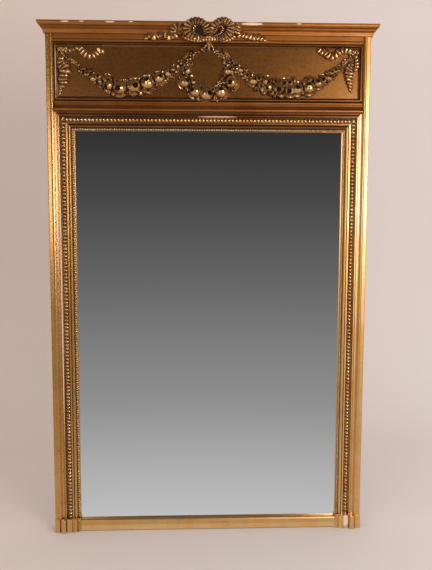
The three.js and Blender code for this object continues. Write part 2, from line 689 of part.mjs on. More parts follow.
// Everything in front of which carving lies, moved out by one glue line.
function friezeFaces() {
  const wide = BODY_HALF + CORNICE_PROJECTION + 50;
  const gap = JOINT_GAP;
  const architraveFace = PANEL_FACE + ARCHITRAVE_THICKNESS;
  const stepFace = architraveFace - 16;
  const panel = block([-wide, 0, 0], [wide, PANEL_FACE + gap, CORNICE_TOP - 1]);
  const lower = block([-wide, 0, 0], [wide, BAND_FACE + gap, PANEL_BOTTOM + gap]);
  const step = block([-wide, 0, 0], [wide, stepFace + gap, ARCHITRAVE_TOP - 2.5 + gap]);
  const upper = block([-wide, 0, PANEL_TOP - gap], [wide, BAND_FACE + gap, CORNICE_TOP - 1]);
  const left = block([-wide, 0, 0], [gap - PANEL_HALF, BAND_FACE + gap, CORNICE_TOP - 1]);
  const right = block([PANEL_HALF - gap, 0, 0], [wide, BAND_FACE + gap, CORNICE_TOP - 1]);
  const cornice = mouldingBar(corniceSection(), 2 * wide, 0, 0);
  const { across, out, along } = CORNICE_RUNS.cornice_front;
  const axes = [across, out, along].map((axis) => new THREE.Vector3(...axis));
  cornice.applyMatrix4(new THREE.Matrix4().makeBasis(...axes));
  cornice.translate(wide, -BAND_FACE - gap, SOFFIT);
  const lowered = cornice.clone().translate(0, 0, -2 * gap);
  return [panel, lower, step, upper, left, right, cornice, lowered];
}

const FACES = friezeFaces().map(toSolid).reduce((a, b) => a.add(b));

// Carving is given as functions of how much it is grown. A piece that lies behind others is cut
// back by them, each grown by one glue line.
function addCarving(name, makeParts, inFront = []) {
  let solid = joined(makeParts(0)).subtract(FACES);
  for (const makeOther of inFront) solid = solid.subtract(joined(makeOther(JOINT_GAP)));
  addPiece(name, toGeometry(solid), carving);
}

const SWAG_STEPS = 18;
const SWAG_FRUITS = 8;
const SWAG_LEAVES_FROM = 0.09; // share of the length where the string ends and the leaves begin
const SWAG_LEAVES_TO = 0.9;

// How full a garland is at a place along it, from 0 at its tips to 1 in the middle.
function fullness(t) {
  const share = (t - SWAG_LEAVES_FROM) / (SWAG_LEAVES_TO - SWAG_LEAVES_FROM);
  return Math.sin(Math.PI * THREE.MathUtils.clamp(share, 0, 1)) ** 0.8;
}

function swagCurve(side) {
  const outerX = side * (PANEL_HALF - SWAG_END_INSET);
  const innerX = CENTRE_SHIFT + side * SWAG_CENTRE_OFFSET;
  const outerZ = PANEL_TOP - SWAG_END_DROP;
  const innerZ = PANEL_TOP - SWAG_END_DROP / 2;
  const lowestZ = (outerZ + innerZ) / 2 - SWAG_SAG;
  const controlZ = 2 * lowestZ - (outerZ + innerZ) / 2;
  return new THREE.QuadraticBezierCurve(
    new THREE.Vector2(outerX, outerZ),
    new THREE.Vector2((outerX + innerX) / 2, controlZ),
    new THREE.Vector2(innerX, innerZ),
  );
}

function swagParts(side) {
  const curve = swagCurve(side);
  const core = [];
  for (let i = 0; i <= SWAG_STEPS; i += 1) {
    const t = i / SWAG_STEPS;
    const { x, y } = curve.getPoint(t);
    const radius = SWAG_STRING_RADIUS + (SWAG_RADIUS - SWAG_STRING_RADIUS) * 0.86 * fullness(t);
    core.push({ x, out: PANEL_FACE + radius * 0.3, z: y, radius });
  }
  const parts = [variableTube(core, 8, false)];
  for (let i = 0; i < SWAG_FRUITS; i += 1) {
    const t = SWAG_LEAVES_FROM + ((i + 1.1) / (SWAG_FRUITS + 1)) * (SWAG_LEAVES_TO - SWAG_LEAVES_FROM);
    const { x, y } = curve.getPoint(t);
    const size = SWAG_RADIUS * 0.62 * fullness(t);
    const sway = (i % 2 === 0 ? -0.42 : 0.3) * size;
    parts.push(ellipsoid(x, PANEL_FACE + size * 0.9, y + sway, size, size, size * RELIEF));
  }
  return parts;
}

const WREATH_CENTRE = PANEL_TOP - 6 - WREATH_HALF_HEIGHT;
const WREATH_STEPS = 28;
const WREATH_FRUITS = 9;

// Angle is counted from the top of the wreath; it thickens steadily to the bottom.
function wreathPoint(angle) {
  const share = (1 - Math.cos(angle)) / 2;
  return {
    x: CENTRE_SHIFT + WREATH_HALF_WIDTH * Math.sin(angle),
    z: WREATH_CENTRE + WREATH_HALF_HEIGHT * Math.cos(angle),
    radius: WREATH_TOP_RADIUS + (WREATH_BOTTOM_RADIUS - WREATH_TOP_RADIUS) * share ** 1.3,
  };
}

function wreathParts(grow) {
  const ring = [];
  for (let i = 0; i < WREATH_STEPS; i += 1) {
    const { x, z, radius } = wreathPoint((2 * Math.PI * i) / WREATH_STEPS);
    ring.push({ x, z, radius: radius * 0.86 + grow, out: PANEL_FACE + radius * 0.3 });
  }
  const parts = [variableTube(ring, 8, true)];
  for (let i = 0; i < WREATH_FRUITS; i += 1) {
    const { x, z, radius } = wreathPoint(Math.PI * (0.42 + (1.16 * i) / (WREATH_FRUITS - 1)));
    const size = radius * 0.6 + grow;
    parts.push(ellipsoid(x, PANEL_FACE + size * 1.1, z, size, size, size * RELIEF));
  }
  return parts;
}

// Ribbon stretches, as distances from the panel's upper corner inwards and down, with half widths.
const CORNER_KNOT = [15, 14];
const CORNER_KNOT_RADIUS = 17;
const CORNER_LEVEL_TAIL = [
  [18, 12, 8],
  [44, 8, 7],
  [71, 10, 8],
  [87, 25, 11],
  [105, 34, 12],
  [126, 26, 10],
  [146, 8, 4],
];
const CORNER_HANGING_TAIL = [
  [14, 24, 8],
  [15, 44, 9],
  [26, 66, 12],
  [33, 86, 13],
  [29, 108, 12],
  [18, 130, 8],
  [11, 153, 4],
];

function cornerBowParts(side, grow) {
  const place = ([inwards, down]) => [side * (PANEL_HALF - inwards), PANEL_TOP - down];
  const ribbon = (tail) =>
    variableTube(
      tail.map((point) => {
        const [x, z] = place(point);
        return { x, z, out: PANEL_FACE + 3, radius: point[2] + grow };
      }),
      8,
      false,
    );
  const [x, z] = place(CORNER_KNOT);
  const radius = CORNER_KNOT_RADIUS + grow;
  const knot = ellipsoid(x, PANEL_FACE + radius * 0.3, z, radius, radius, radius * RELIEF);
  return [knot, ribbon(CORNER_LEVEL_TAIL), ribbon(CORNER_HANGING_TAIL)];
}

// One upright loop of the central bow, leaning back towards the knot below it.
function bowLoop(side, grow) {
  const centreX = CENTRE_SHIFT + side * 42;
  const top = CORNICE_TOP + BOW_RISE;
  const centreZ = top - BOW_LOOP_RADIUS - BOW_LOOP_HALF_HEIGHT;
  const corniceFace = BAND_FACE + CORNICE_PROJECTION;
  const points = [];
  const steps = 16;
  for (let i = 0; i < steps; i += 1) {
    const angle = (2 * Math.PI * i) / steps;
    const rise = Math.cos(angle);
    points.push({
      x: centreX + BOW_LOOP_HALF_WIDTH * Math.sin(angle) + side * 4 * rise,
      z: centreZ + BOW_LOOP_HALF_HEIGHT * rise,
      out: corniceFace - 2 + 9 * rise,
      radius: BOW_LOOP_RADIUS + grow,
    });
  }
  return variableTube(points, 8, true);
}

// Ruffled ribbon beside the knot, as distances out from the bow's middle and up from the soffit.
const CREST_RUFFLE = [
  [20, -8, 10],
  [52, -2, 12],
  [82, 8, 13],
  [104, 12, 11],
  [120, 8, 5],
];

// The streamers that run outwards from the bow along the top band.
const CREST_TAIL = [
  [112, -16, 4],
  [126, -12, 9],
  [146, -10, 11],
  [166, -13, 12],
  [186, -10, 12],
  [202, -13, 10],
  [216, -12, 5],
];

function crestRibbon(stretch, side, out, grow) {
  const points = stretch.map(([away, rise, radius]) => ({
    x: CENTRE_SHIFT + side * away,
    z: SOFFIT + rise,
    out: BAND_FACE + out,
    radius: radius + grow,
  }));
  return variableTube(points, 8, false);
}

function crestBowParts(grow) {
  const radius = 19 + grow;
  const knot = ellipsoid(CENTRE_SHIFT, BAND_FACE + 9, CREST_BASE, radius, radius, radius * RELIEF);
  const neck = ellipsoid(CENTRE_SHIFT, BAND_FACE + 12, SOFFIT - 4, radius + 5, radius, radius * RELIEF);
  const loops = [-1, 1].map((side) => bowLoop(side, grow));
  const ruffles = [-1, 1].map((side) => crestRibbon(CREST_RUFFLE, side, 13, grow));
  return [knot, neck, ...loops, ...ruffles];
}

function addCarvings() {
  addCarving('crest_bow', crestBowParts);
  addCarving('wreath', wreathParts, [crestBowParts]);
  for (const [side, label] of [[-1, 'left'], [1, 'right']]) {
    const tail = (grow) => [crestRibbon(CREST_TAIL, side, 3, grow)];
    const corner = (grow) => cornerBowParts(side, grow);
    addCarving(`crest_tail_${label}`, tail, [crestBowParts]);
    addCarving(`corner_bow_${label}`, corner);
    addCarving(`swag_${label}`, () => swagParts(side), [crestBowParts, wreathParts, corner]);
  }
}

// ---------------------------------------------------------------- hanging rings

// The centre line of a D-shaped ring that hangs from the pivot at its straight top bar.
function ringPath() {
  const side = RING_HALF_WIDTH;
  const corner = RING_CORNER;
  const bow = corner + RING_STRAIGHT;
  return [
    ...arc(side - corner, -corner, corner, corner, 90, 0, 3),
    ...arc(0, -bow, side, side, 0, -180, 12),
    ...arc(corner - side, -corner, corner, corner, 180, 90, 3),
  ];
}

// A wire of round section along a closed path in the x-z plane.
function closedWire(path, radius, sides) {
  const loop = path.map(([x, z]) => ({ x, z }));
  const count = loop.length;
  const vertices = [];
  loop.forEach(({ x, z }, i) => {
    const before = loop[(i + count - 1) % count];
    const after = loop[(i + 1) % count];
    const run = new THREE.Vector2(after.x - before.x, after.z - before.z).normalize();
    for (let j = 0; j < sides; j += 1) {
      const angle = (2 * Math.PI * j) / sides;
      const aside = radius * Math.cos(angle);
      vertices.push(x - run.y * aside, -radius * Math.sin(angle), z + run.x * aside);
    }
  });
  const faces = [];
  for (let i = 0; i < count; i += 1) {
    for (let j = 0; j < sides; j += 1) {
      const next = ((i + 1) % count) * sides;
      const a = i * sides + j;
      const b = i * sides + ((j + 1) % sides);
      faces.push(a, b, next + ((j + 1) % sides), a, next + ((j + 1) % sides), next + j);
    }
  }
  const geometry = new THREE.BufferGeometry();
  geometry.setAttribute('position', new THREE.BufferAttribute(new Float32Array(vertices), 3));
  geometry.setIndex(faces);
  return geometry;
}

// The strap plate with its rolled knuckle, built round the pivot.
function plateGeometry() {
  const half = PLATE_WIDTH / 2;
  const face = PIVOT_DEPTH + KNUCKLE_RADIUS;
  const strap = block(
    [-half, face - PIVOT_DEPTH - 0.8, -PLATE_LENGTH],
    [half, face - PIVOT_DEPTH + PLATE_THICKNESS, KNUCKLE_RADIUS / 2],
  );
  const front = block([-half - 1, 0, -PLATE_LENGTH - 1], [half + 1, KNUCKLE_RADIUS, -KNUCKLE_RADIUS]);
  const knuckle = new THREE.CylinderGeometry(KNUCKLE_RADIUS, KNUCKLE_RADIUS, PLATE_WIDTH, 20);
  knuckle.rotateZ(Math.PI / 2);
  const boreRadius = RING_WIRE_RADIUS + KNUCKLE_CLEARANCE;
  const bore = new THREE.CylinderGeometry(boreRadius, boreRadius, PLATE_WIDTH + 4, 20);
  bore.rotateZ(Math.PI / 2);
  const holes = SCREW_OFFSETS.map((drop) => screwHole(0, -drop, 0, KNUCKLE_RADIUS + PLATE_THICKNESS + 1));
  const cutters = [front, bore, ...holes].map(toSolid);
  return toGeometry(cutters.reduce((body, cutter) => body.subtract(cutter), joined([strap, knuckle])));
}

// A round-headed screw: the head stands on the plate, the shank runs into the stile.
function screwGeometry() {
  const profile = [
    [0, -SCREW_LENGTH],
    [SCREW_RADIUS * 0.4, -SCREW_LENGTH + 3],
    [SCREW_RADIUS, -SCREW_LENGTH + 6],
    [SCREW_RADIUS, 0],
    [SCREW_HEAD_RADIUS, 0],
    [SCREW_HEAD_RADIUS * 0.85, SCREW_HEAD_HEIGHT * 0.6],
    [SCREW_HEAD_RADIUS * 0.45, SCREW_HEAD_HEIGHT],
    [0, SCREW_HEAD_HEIGHT],
  ];
  const turned = new THREE.LatheGeometry(
    profile.map(([x, y]) => new THREE.Vector2(x, y)),
    16,
  );
  const slot = new THREE.BoxGeometry(3 * SCREW_HEAD_RADIUS, SCREW_HEAD_HEIGHT, 0.8);
  slot.translate(0, SCREW_HEAD_HEIGHT, 0);
  return carved(turned, [slot]);
}

function addHanger(side, label) {
  const x = side * PIVOT_OFFSET;
  const plate = addPiece(`hanger_plate_${label}`, plateGeometry(), brass);
  plate.position.set(x, -PIVOT_DEPTH, PIVOT_HEIGHT);
  const ring = addPiece(`hanging_ring_${label}`, closedWire(ringPath(), RING_WIRE_RADIUS, 12), brass);
  ring.position.set(x, -PIVOT_DEPTH, PIVOT_HEIGHT);
  SCREW_OFFSETS.forEach((drop, i) => {
    const screw = addPiece(`hanger_screw_${label}_${i + 1}`, screwGeometry(), steel);
    screw.position.set(x, -PLATE_FACE + JOINT_GAP, PIVOT_HEIGHT - drop);
  });
}

// ---------------------------------------------------------------- assembly

addCarcass();
addGlass();
addWedges();
addBackboards();
addOuterBands();
addSurround();
addRailMoulding();
addBaseBlocks();
addFriezePanel();
addPanelMouldings();
addArchitrave();
addTopBand();
addCornice();
addCarvings();
addHanger(-1, 'left');
addHanger(1, 'right');

mirror.position.z = -PIVOT_HEIGHT;

export default mirror;
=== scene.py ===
# %% [markdown]
# A trumeau mirror: a tall plate of silvered glass in a gilded pine frame, with a carved frieze over
# it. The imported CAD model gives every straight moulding. This lesson dresses them in worn water
# gilding, and models by hand what a carver adds: beads, leaves, fruit and ribbon.

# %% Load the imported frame
import json
import math
import random

import bmesh
import bpy
from mathutils import Matrix, Vector

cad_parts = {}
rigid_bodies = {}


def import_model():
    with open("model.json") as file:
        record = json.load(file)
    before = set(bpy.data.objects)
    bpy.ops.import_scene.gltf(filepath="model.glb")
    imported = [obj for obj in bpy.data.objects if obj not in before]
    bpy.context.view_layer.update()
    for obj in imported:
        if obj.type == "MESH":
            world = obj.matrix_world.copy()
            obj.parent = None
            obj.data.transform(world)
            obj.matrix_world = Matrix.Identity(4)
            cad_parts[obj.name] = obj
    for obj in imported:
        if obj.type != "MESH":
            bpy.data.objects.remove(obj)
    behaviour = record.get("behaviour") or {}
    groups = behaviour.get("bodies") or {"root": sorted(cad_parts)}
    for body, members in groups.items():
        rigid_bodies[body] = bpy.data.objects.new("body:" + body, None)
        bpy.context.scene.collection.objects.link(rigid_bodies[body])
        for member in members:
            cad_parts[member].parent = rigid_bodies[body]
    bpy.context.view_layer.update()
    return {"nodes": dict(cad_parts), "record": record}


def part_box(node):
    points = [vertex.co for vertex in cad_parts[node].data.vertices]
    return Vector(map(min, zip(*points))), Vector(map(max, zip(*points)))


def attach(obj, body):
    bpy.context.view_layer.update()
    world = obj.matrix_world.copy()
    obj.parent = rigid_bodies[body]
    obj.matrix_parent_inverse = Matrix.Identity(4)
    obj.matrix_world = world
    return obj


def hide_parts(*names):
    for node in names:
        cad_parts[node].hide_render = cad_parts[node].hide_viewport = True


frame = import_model()
bpy.ops.object.select_all(action="DESELECT")

MM = 0.001
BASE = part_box("stile_left")[0].z  # underside of the frame; heights below are counted from here
print("frame loaded:", len(frame["nodes"]), "nodes, base at", round(BASE, 4))

# %% [markdown]
# The photograph was taken a little above the middle of the glass and left of it, looking slightly
# down and to the right. A camera could be set by eye against the picture. Fitting it to the frame's
# straight edges is surer, and gave these numbers.

# %% Camera
CAMERA_PLACE = Vector((-0.0860, -2.6740, BASE + 1.1780))
CAMERA_YAW = math.radians(2.42)
CAMERA_PITCH = math.radians(-6.30)
CAMERA_ROLL = math.radians(0.16)
FOCAL_PIXELS = 750.0
FRAME_HEIGHT_PIXELS = 570.0


def add_object(name, data):
    made = bpy.data.objects.new(name, data)
    bpy.context.scene.collection.objects.link(made)
    return made


def add_camera():
    ahead = Vector((
        math.sin(CAMERA_YAW) * math.cos(CAMERA_PITCH),
        math.cos(CAMERA_YAW) * math.cos(CAMERA_PITCH),
        math.sin(CAMERA_PITCH),
    ))
    level_right = Vector((math.cos(CAMERA_YAW), -math.sin(CAMERA_YAW), 0))
    level_up = level_right.cross(ahead)
    right = math.cos(CAMERA_ROLL) * level_right + math.sin(CAMERA_ROLL) * level_up
    up = right.cross(ahead)
    lens = bpy.data.cameras.new("camera")
    lens.sensor_fit = "AUTO"
    lens.sensor_width = 36
    lens.lens = 36 * FOCAL_PIXELS / FRAME_HEIGHT_PIXELS
    camera = add_object("camera", lens)
    turn = Matrix((right, up, -ahead)).transposed().to_4x4()
    camera.matrix_world = Matrix.Translation(CAMERA_PLACE) @ turn
    bpy.context.scene.camera = camera
    print("camera with a lens of", lens.lens, "mm")


add_camera()

# %% [markdown]
# A material is a small network of nodes. Two helpers keep the recipes short. One turns a colour
# written as on a paint chart (sRGB hex), or a plain level of grey, into the linear numbers that
# Blender calculates with. The other adds a node, sets it up and links what feeds it.

# %% Helpers for materials
BLEND_COLOURS = {"data_type": "RGBA"}  # makes a Mix node mix colours (6 and 7) instead of numbers
MULTIPLY = {"operation": "MULTIPLY"}
SUBTRACT = {"operation": "SUBTRACT"}
MAXIMUM = {"operation": "MAXIMUM"}
ABSOLUTE = {"operation": "ABSOLUTE"}


def colour(code):
    if not isinstance(code, str):
        return (code, code, code, 1.0)
    channels = [int(code[i:i + 2], 16) / 255 for i in (0, 2, 4)]
    linear = [c / 12.92 if c <= 0.04045 else ((c + 0.055) / 1.055) ** 2.4 for c in channels]
    return (*linear, 1.0)


def node(tree, kind, settings=None, stops=(), **inputs):
    """An input is called by its name, or by i and its number. A node given to an input is linked by
    its first output in use. The stops are the places and colours of a colour ramp."""
    made = tree.nodes.new("ShaderNode" + kind)
    for key, value in (settings or {}).items():
        setattr(made, key, value)
    if stops:
        points = made.color_ramp.elements
        for point, (place, tint) in zip(points, (stops[0], stops[-1])):
            point.position, point.color = place, colour(tint)
        for place, tint in stops[1:-1]:
            points.new(place).color = colour(tint)
    for key, value in inputs.items():
        by_number = key[0] == "i" and key[1:].isdigit()
        socket = made.inputs[int(key[1:]) if by_number else key.replace("_", " ")]
        if isinstance(value, bpy.types.Node):
            value = next(output for output in value.outputs if output.enabled)
        if isinstance(value, bpy.types.NodeSocket):
            tree.links.new(value, socket)
        else:
            socket.default_value = colour(value) if socket.type == "RGBA" else value
    return made


def new_material(name):
    material = bpy.data.materials.new(name)
    material.use_nodes = True
    tree = material.node_tree
    tree.nodes.clear()
    print("material:", name)
    return material, tree, node(tree, "TexCoord").outputs["Object"]


# %% [markdown]
# The setting is a pale paper sweep: a floor that curves up into a wall, because two flat planes
# would show a line where they meet. It is clear from behind, so that the back of the mirror can be
# seen, and clear to reflections, which show the room.

# %% Paper sweep
FLOOR = BASE - 0.0005
SWEEP_REACH = 30.0  # how far the paper goes on to the sides and the front, in metres
SWEEP_BEND = 0.9
SWEEP_TOP = 3.6
BEND_STEPS = 12


def pale_paper():
    material, tree, place = new_material("pale paper")
    parts = node(tree, "SeparateXYZ", Vector=place)
    # Darker towards the left and lighter towards the right: painted light, as the stronger lamp
    # stands on the right.
    across = node(tree, "MapRange", i0=parts.outputs["X"], i1=-1.2, i2=1.2)
    tint = node(tree, "ValToRGB", stops=((0.0, "E7DAD3"), (1.0, "EEE8E8")), Fac=across)
    behind = node(tree, "NewGeometry").outputs["Backfacing"]
    mirrored = node(tree, "LightPath").outputs["Is Glossy Ray"]
    unseen = node(tree, "Math", MAXIMUM, i0=behind, i1=mirrored)
    both = node(tree, "MixShader", i0=unseen, i1=node(tree, "BsdfDiffuse", Color=tint),
                i2=node(tree, "BsdfTransparent"))
    node(tree, "OutputMaterial", Surface=both)
    return material


def add_sweep():
    profile = [(-SWEEP_REACH, 0.0), (SWEEP_BEND, 0.0)]
    for i in range(1, BEND_STEPS + 1):
        turn = math.radians(90 * i / BEND_STEPS)
        profile.append((SWEEP_BEND * (1 + math.sin(turn)), SWEEP_BEND * (1 - math.cos(turn))))
    profile.append((2 * SWEEP_BEND, SWEEP_TOP))
    bm = bmesh.new()
    left, right = ([bm.verts.new((x, y, FLOOR + z)) for y, z in profile]
                   for x in (-SWEEP_REACH, SWEEP_REACH))
    for i in range(len(profile) - 1):
        bm.faces.new((left[i], right[i], right[i + 1], left[i + 1])).smooth = True
    mesh = bpy.data.meshes.new("paper_sweep")
    bm.to_mesh(mesh)
    sweep = add_object("paper_sweep", mesh)
    sweep.data.materials.append(pale_paper())


add_sweep()

# %% [markdown]
# The right-hand side is lit more strongly, which is why the gilding glows there and stays brown on
# the left; the right-hand pieces also take a brighter copy of the gold, which is painted light.
# Polished things show the room: dark above, pale floor below. The world gives them that as a smooth
# gradient, seen only by reflected rays.

# %% Lamps and world
ROOM = ((0.00, 0.35), (0.18, 0.50), (0.27, 0.72), (0.304, 0.56), (0.37, 0.30), (0.445, 0.147),
        (0.50, 0.073), (0.547, 0.032), (0.70, 0.02), (1.00, 0.05))  # from straight down to up
PAPER_IN_REFLECTIONS = 0.42


def add_area_lamp(name, place, target, size, power, tint):
    lamp = bpy.data.lights.new(name, "AREA")
    lamp.shape = "RECTANGLE"
    lamp.size, lamp.size_y = size
    lamp.energy = power
    lamp.color = colour(tint)[:3]
    holder = add_object(name, lamp)
    holder.location = place
    holder.rotation_euler = (Vector(target) - Vector(place)).to_track_quat("-Z", "Y").to_euler()
    print(name, power, "W")


def set_world():
    world = bpy.data.worlds.new("studio")
    bpy.context.scene.world = world
    world.use_nodes = True
    tree = world.node_tree
    tree.nodes.clear()
    direction = node(tree, "TexCoord").outputs["Generated"]
    parts = node(tree, "SeparateXYZ", Vector=direction).outputs
    level = node(tree, "MapRange", i0=parts["Z"], i1=-1.0, i2=1.0)
    room = node(tree, "ValToRGB", stops=ROOM, Fac=level)
    # Behind the mirror hangs the pale paper, which its sides and back reflect.
    paper_share = node(tree, "MapRange", i0=parts["Y"], i1=-0.05, i2=0.30)
    around = node(tree, "Mix", BLEND_COLOURS, i0=paper_share, i6=room, i7=PAPER_IN_REFLECTIONS)
    seen = node(tree, "Background", Color=around, Strength=1.0)
    light = node(tree, "Background", Color="F2EAE4", Strength=0.80)
    mirrored = node(tree, "LightPath").outputs["Is Glossy Ray"]
    node(tree, "OutputWorld", Surface=node(tree, "MixShader", i0=mirrored, i1=light, i2=seen))


add_area_lamp("key_lamp", (1.98, -3.5, 0.25), (0.5, 0.0, 0.1), (1.5, 1.1), 60, "FFF4E6")
add_area_lamp("fill_lamp", (-1.60, -3.5, 0.17), (-0.5, 0.0, 0.1), (1.1, 1.0), 12, "FFF6EC")
set_world()
bpy.context.scene.view_settings.view_transform = "Standard"

# %% [markdown]
# Old gilding is lost in two ways. Dusting rubs the raised ridges until they turn pale, and knocks
# chip it down to the white gesso. The pale of the ridges on the upright bands is also painted
# highlight, kept to the heights where the lamps catch them. Either could be painted on by hand.
# Here each is a mask from 0 to 1, worked out from the place, so that it fits the solids and needs
# no picture.

# %% Where the gold is rubbed and chipped, and the ridges get a painted highlight
RIDGE_X = 0.5225  # the middle of the ridge on each upright band
# The pale ridge is worn gold and painted highlight: these reach out from its middle.
RIDGE_EDGE, RIDGE_CREST = 0.017, 0.010  # where rubbing starts and is full, counted from there
RIDGE_WEAR_AND_HIGHLIGHT_HEIGHTS = ((0.25, 0.0), (0.55, 0.75), (0.70, 0.75), (0.76, 0.0))  # in shares of 2 m
CHIP_EDGE, CHIP_CORE = 1.62, 1.40  # the outline of a chip, made ragged by the added noise


def ridge_wear_and_highlight(tree, place, waver):
    parts = node(tree, "SeparateXYZ", Vector=place).outputs
    aside = node(tree, "Math", ABSOLUTE, i0=parts["X"])
    far = node(tree, "Math", ABSOLUTE, i0=node(tree, "Math", SUBTRACT, i0=aside, i1=RIDGE_X))
    near = node(tree, "MapRange", i0=far, i1=RIDGE_EDGE, i2=RIDGE_CREST)
    # Hands and dusters reach the middle most, and there the lamps catch the ridge, so its pale is
    # wear and painted highlight: it fades out under the architrave and at knee height.
    height = node(tree, "MapRange", i0=parts["Z"], i1=BASE, i2=BASE + 2.0)
    reach = node(tree, "ValToRGB", stops=RIDGE_WEAR_AND_HIGHLIGHT_HEIGHTS, Fac=height)
    rubbed = node(tree, "Math", MULTIPLY, i0=near, i1=reach)
    patchy = node(tree, "MapRange", i0=waver, i1=0.3, i2=0.6, i3=0.45, i4=1.0)
    return node(tree, "Math", MULTIPLY, i0=rubbed, i1=patchy)


def chipped(tree, place, waver, chips):
    """A chip is its middle x, out and z, and how far it reaches along each, in millimetres."""
    total = 0.0
    for x, out, z, *reach in chips:
        middle = (x * MM, -out * MM, BASE + z * MM)
        moved = node(tree, "VectorMath", SUBTRACT, i0=place, i1=middle)
        sized = node(tree, "VectorMath", {"operation": "DIVIDE"}, i0=moved,
                     i1=[length * MM for length in reach])
        away = node(tree, "VectorMath", {"operation": "LENGTH"}, i0=sized)
        ragged = node(tree, "Math", {"operation": "ADD"}, i0=away, i1=waver)
        share = node(tree, "MapRange", i0=ragged, i1=CHIP_EDGE, i2=CHIP_CORE)
        total = node(tree, "Math", MAXIMUM, i0=share, i1=total)
    return total


# %% [markdown]
# The faces towards the wall were never gilded: they show the pine. Softwood grain is long in one
# direction, so the noise is stretched along the board: bands of 4 to 8 mm across, and a metre long.

# %% Bare pine
ACROSS = (2.0, 40.0, 160.0)
UPRIGHT = (160.0, 40.0, 2.0)


def bare_back(tree, normal):
    """From 0 to 1: the faces towards the wall."""
    towards_wall = node(tree, "SeparateXYZ", Vector=normal).outputs["Y"]
    return node(tree, "MapRange", i0=towards_wall, i1=0.85, i2=0.95)


def pine_tone(tree, place, stretch, light, dark):
    """The colour of softwood whose grain runs where the stretch is small, and the grain itself."""
    mapping = node(tree, "Mapping", Vector=place, Scale=stretch)
    grain = node(tree, "TexNoise", Vector=mapping, Scale=1.0, Detail=6.0, Roughness=0.7)
    return node(tree, "ValToRGB", stops=((0.30, dark), (0.62, light)), Fac=grain), grain


# %% [markdown]
# Leaf comes in squares of 80 mm, laid edge over edge on red-brown clay (bole). Each square differs
# a little, a lap shows as a line, and where the leaf is worn through the clay shows in patches. A
# Brick texture without an offset draws the squares, and noise breaks them up.

# %% Leaf laid on bole
LEAF_SQUARE = 0.08
LAP = 0.0008


def laid_leaf(tree, place, flecks, gold, rubbed, bole, flecked):
    patches = node(tree, "TexNoise", Vector=place, Scale=12.0, Detail=4.0, Roughness=0.6)
    parts = node(tree, "SeparateXYZ", Vector=place).outputs
    front = node(tree, "CombineXYZ", X=parts["X"], Y=parts["Z"])
    squares = node(tree, "TexBrick", {"offset": 0.0}, Vector=front, Color1=0.25, Color2=0.70,
                   Mortar=1.0, Scale=1.0, Mortar_Size=LAP, Mortar_Smooth=0.5,
                   Brick_Width=LEAF_SQUARE, Row_Height=LEAF_SQUARE)
    laid = node(tree, "Mix", i0=0.30, i2=patches, i3=squares)
    leaf = node(tree, "ValToRGB", stops=((0.35, gold), (0.65, rubbed)), Fac=laid)
    broad = node(tree, "TexNoise", Vector=place, Scale=22.0, Detail=3.0)
    worn = node(tree, "Math", MULTIPLY, i0=flecks, i1=broad)
    bole_share = node(tree, "ValToRGB", stops=((0.31, 0.0), (0.40, flecked)), Fac=worn)
    return node(tree, "Mix", BLEND_COLOURS, i0=bole_share, i6=leaf, i7=bole)


# %% [markdown]
# Water gilding is beaten gold leaf on bole over white gesso, burnished with agate, so it shines
# like metal. Age rubs the high edges pale and leaves brown dirt in the hollows, which doesn't
# shine.
# The recipe darkens and dulls the places that are shut in, as dirt and as painted shade, pales the
# edges, as wear and as painted highlight, and lays chips and bare pine over all.

# %% Worn water gilding
GESSO = "E6CDB4"
# The pale cream of the ridges on the upright bands: wear and painted highlight.
RIDGE_WEAR_AND_HIGHLIGHT = "EBCB98"


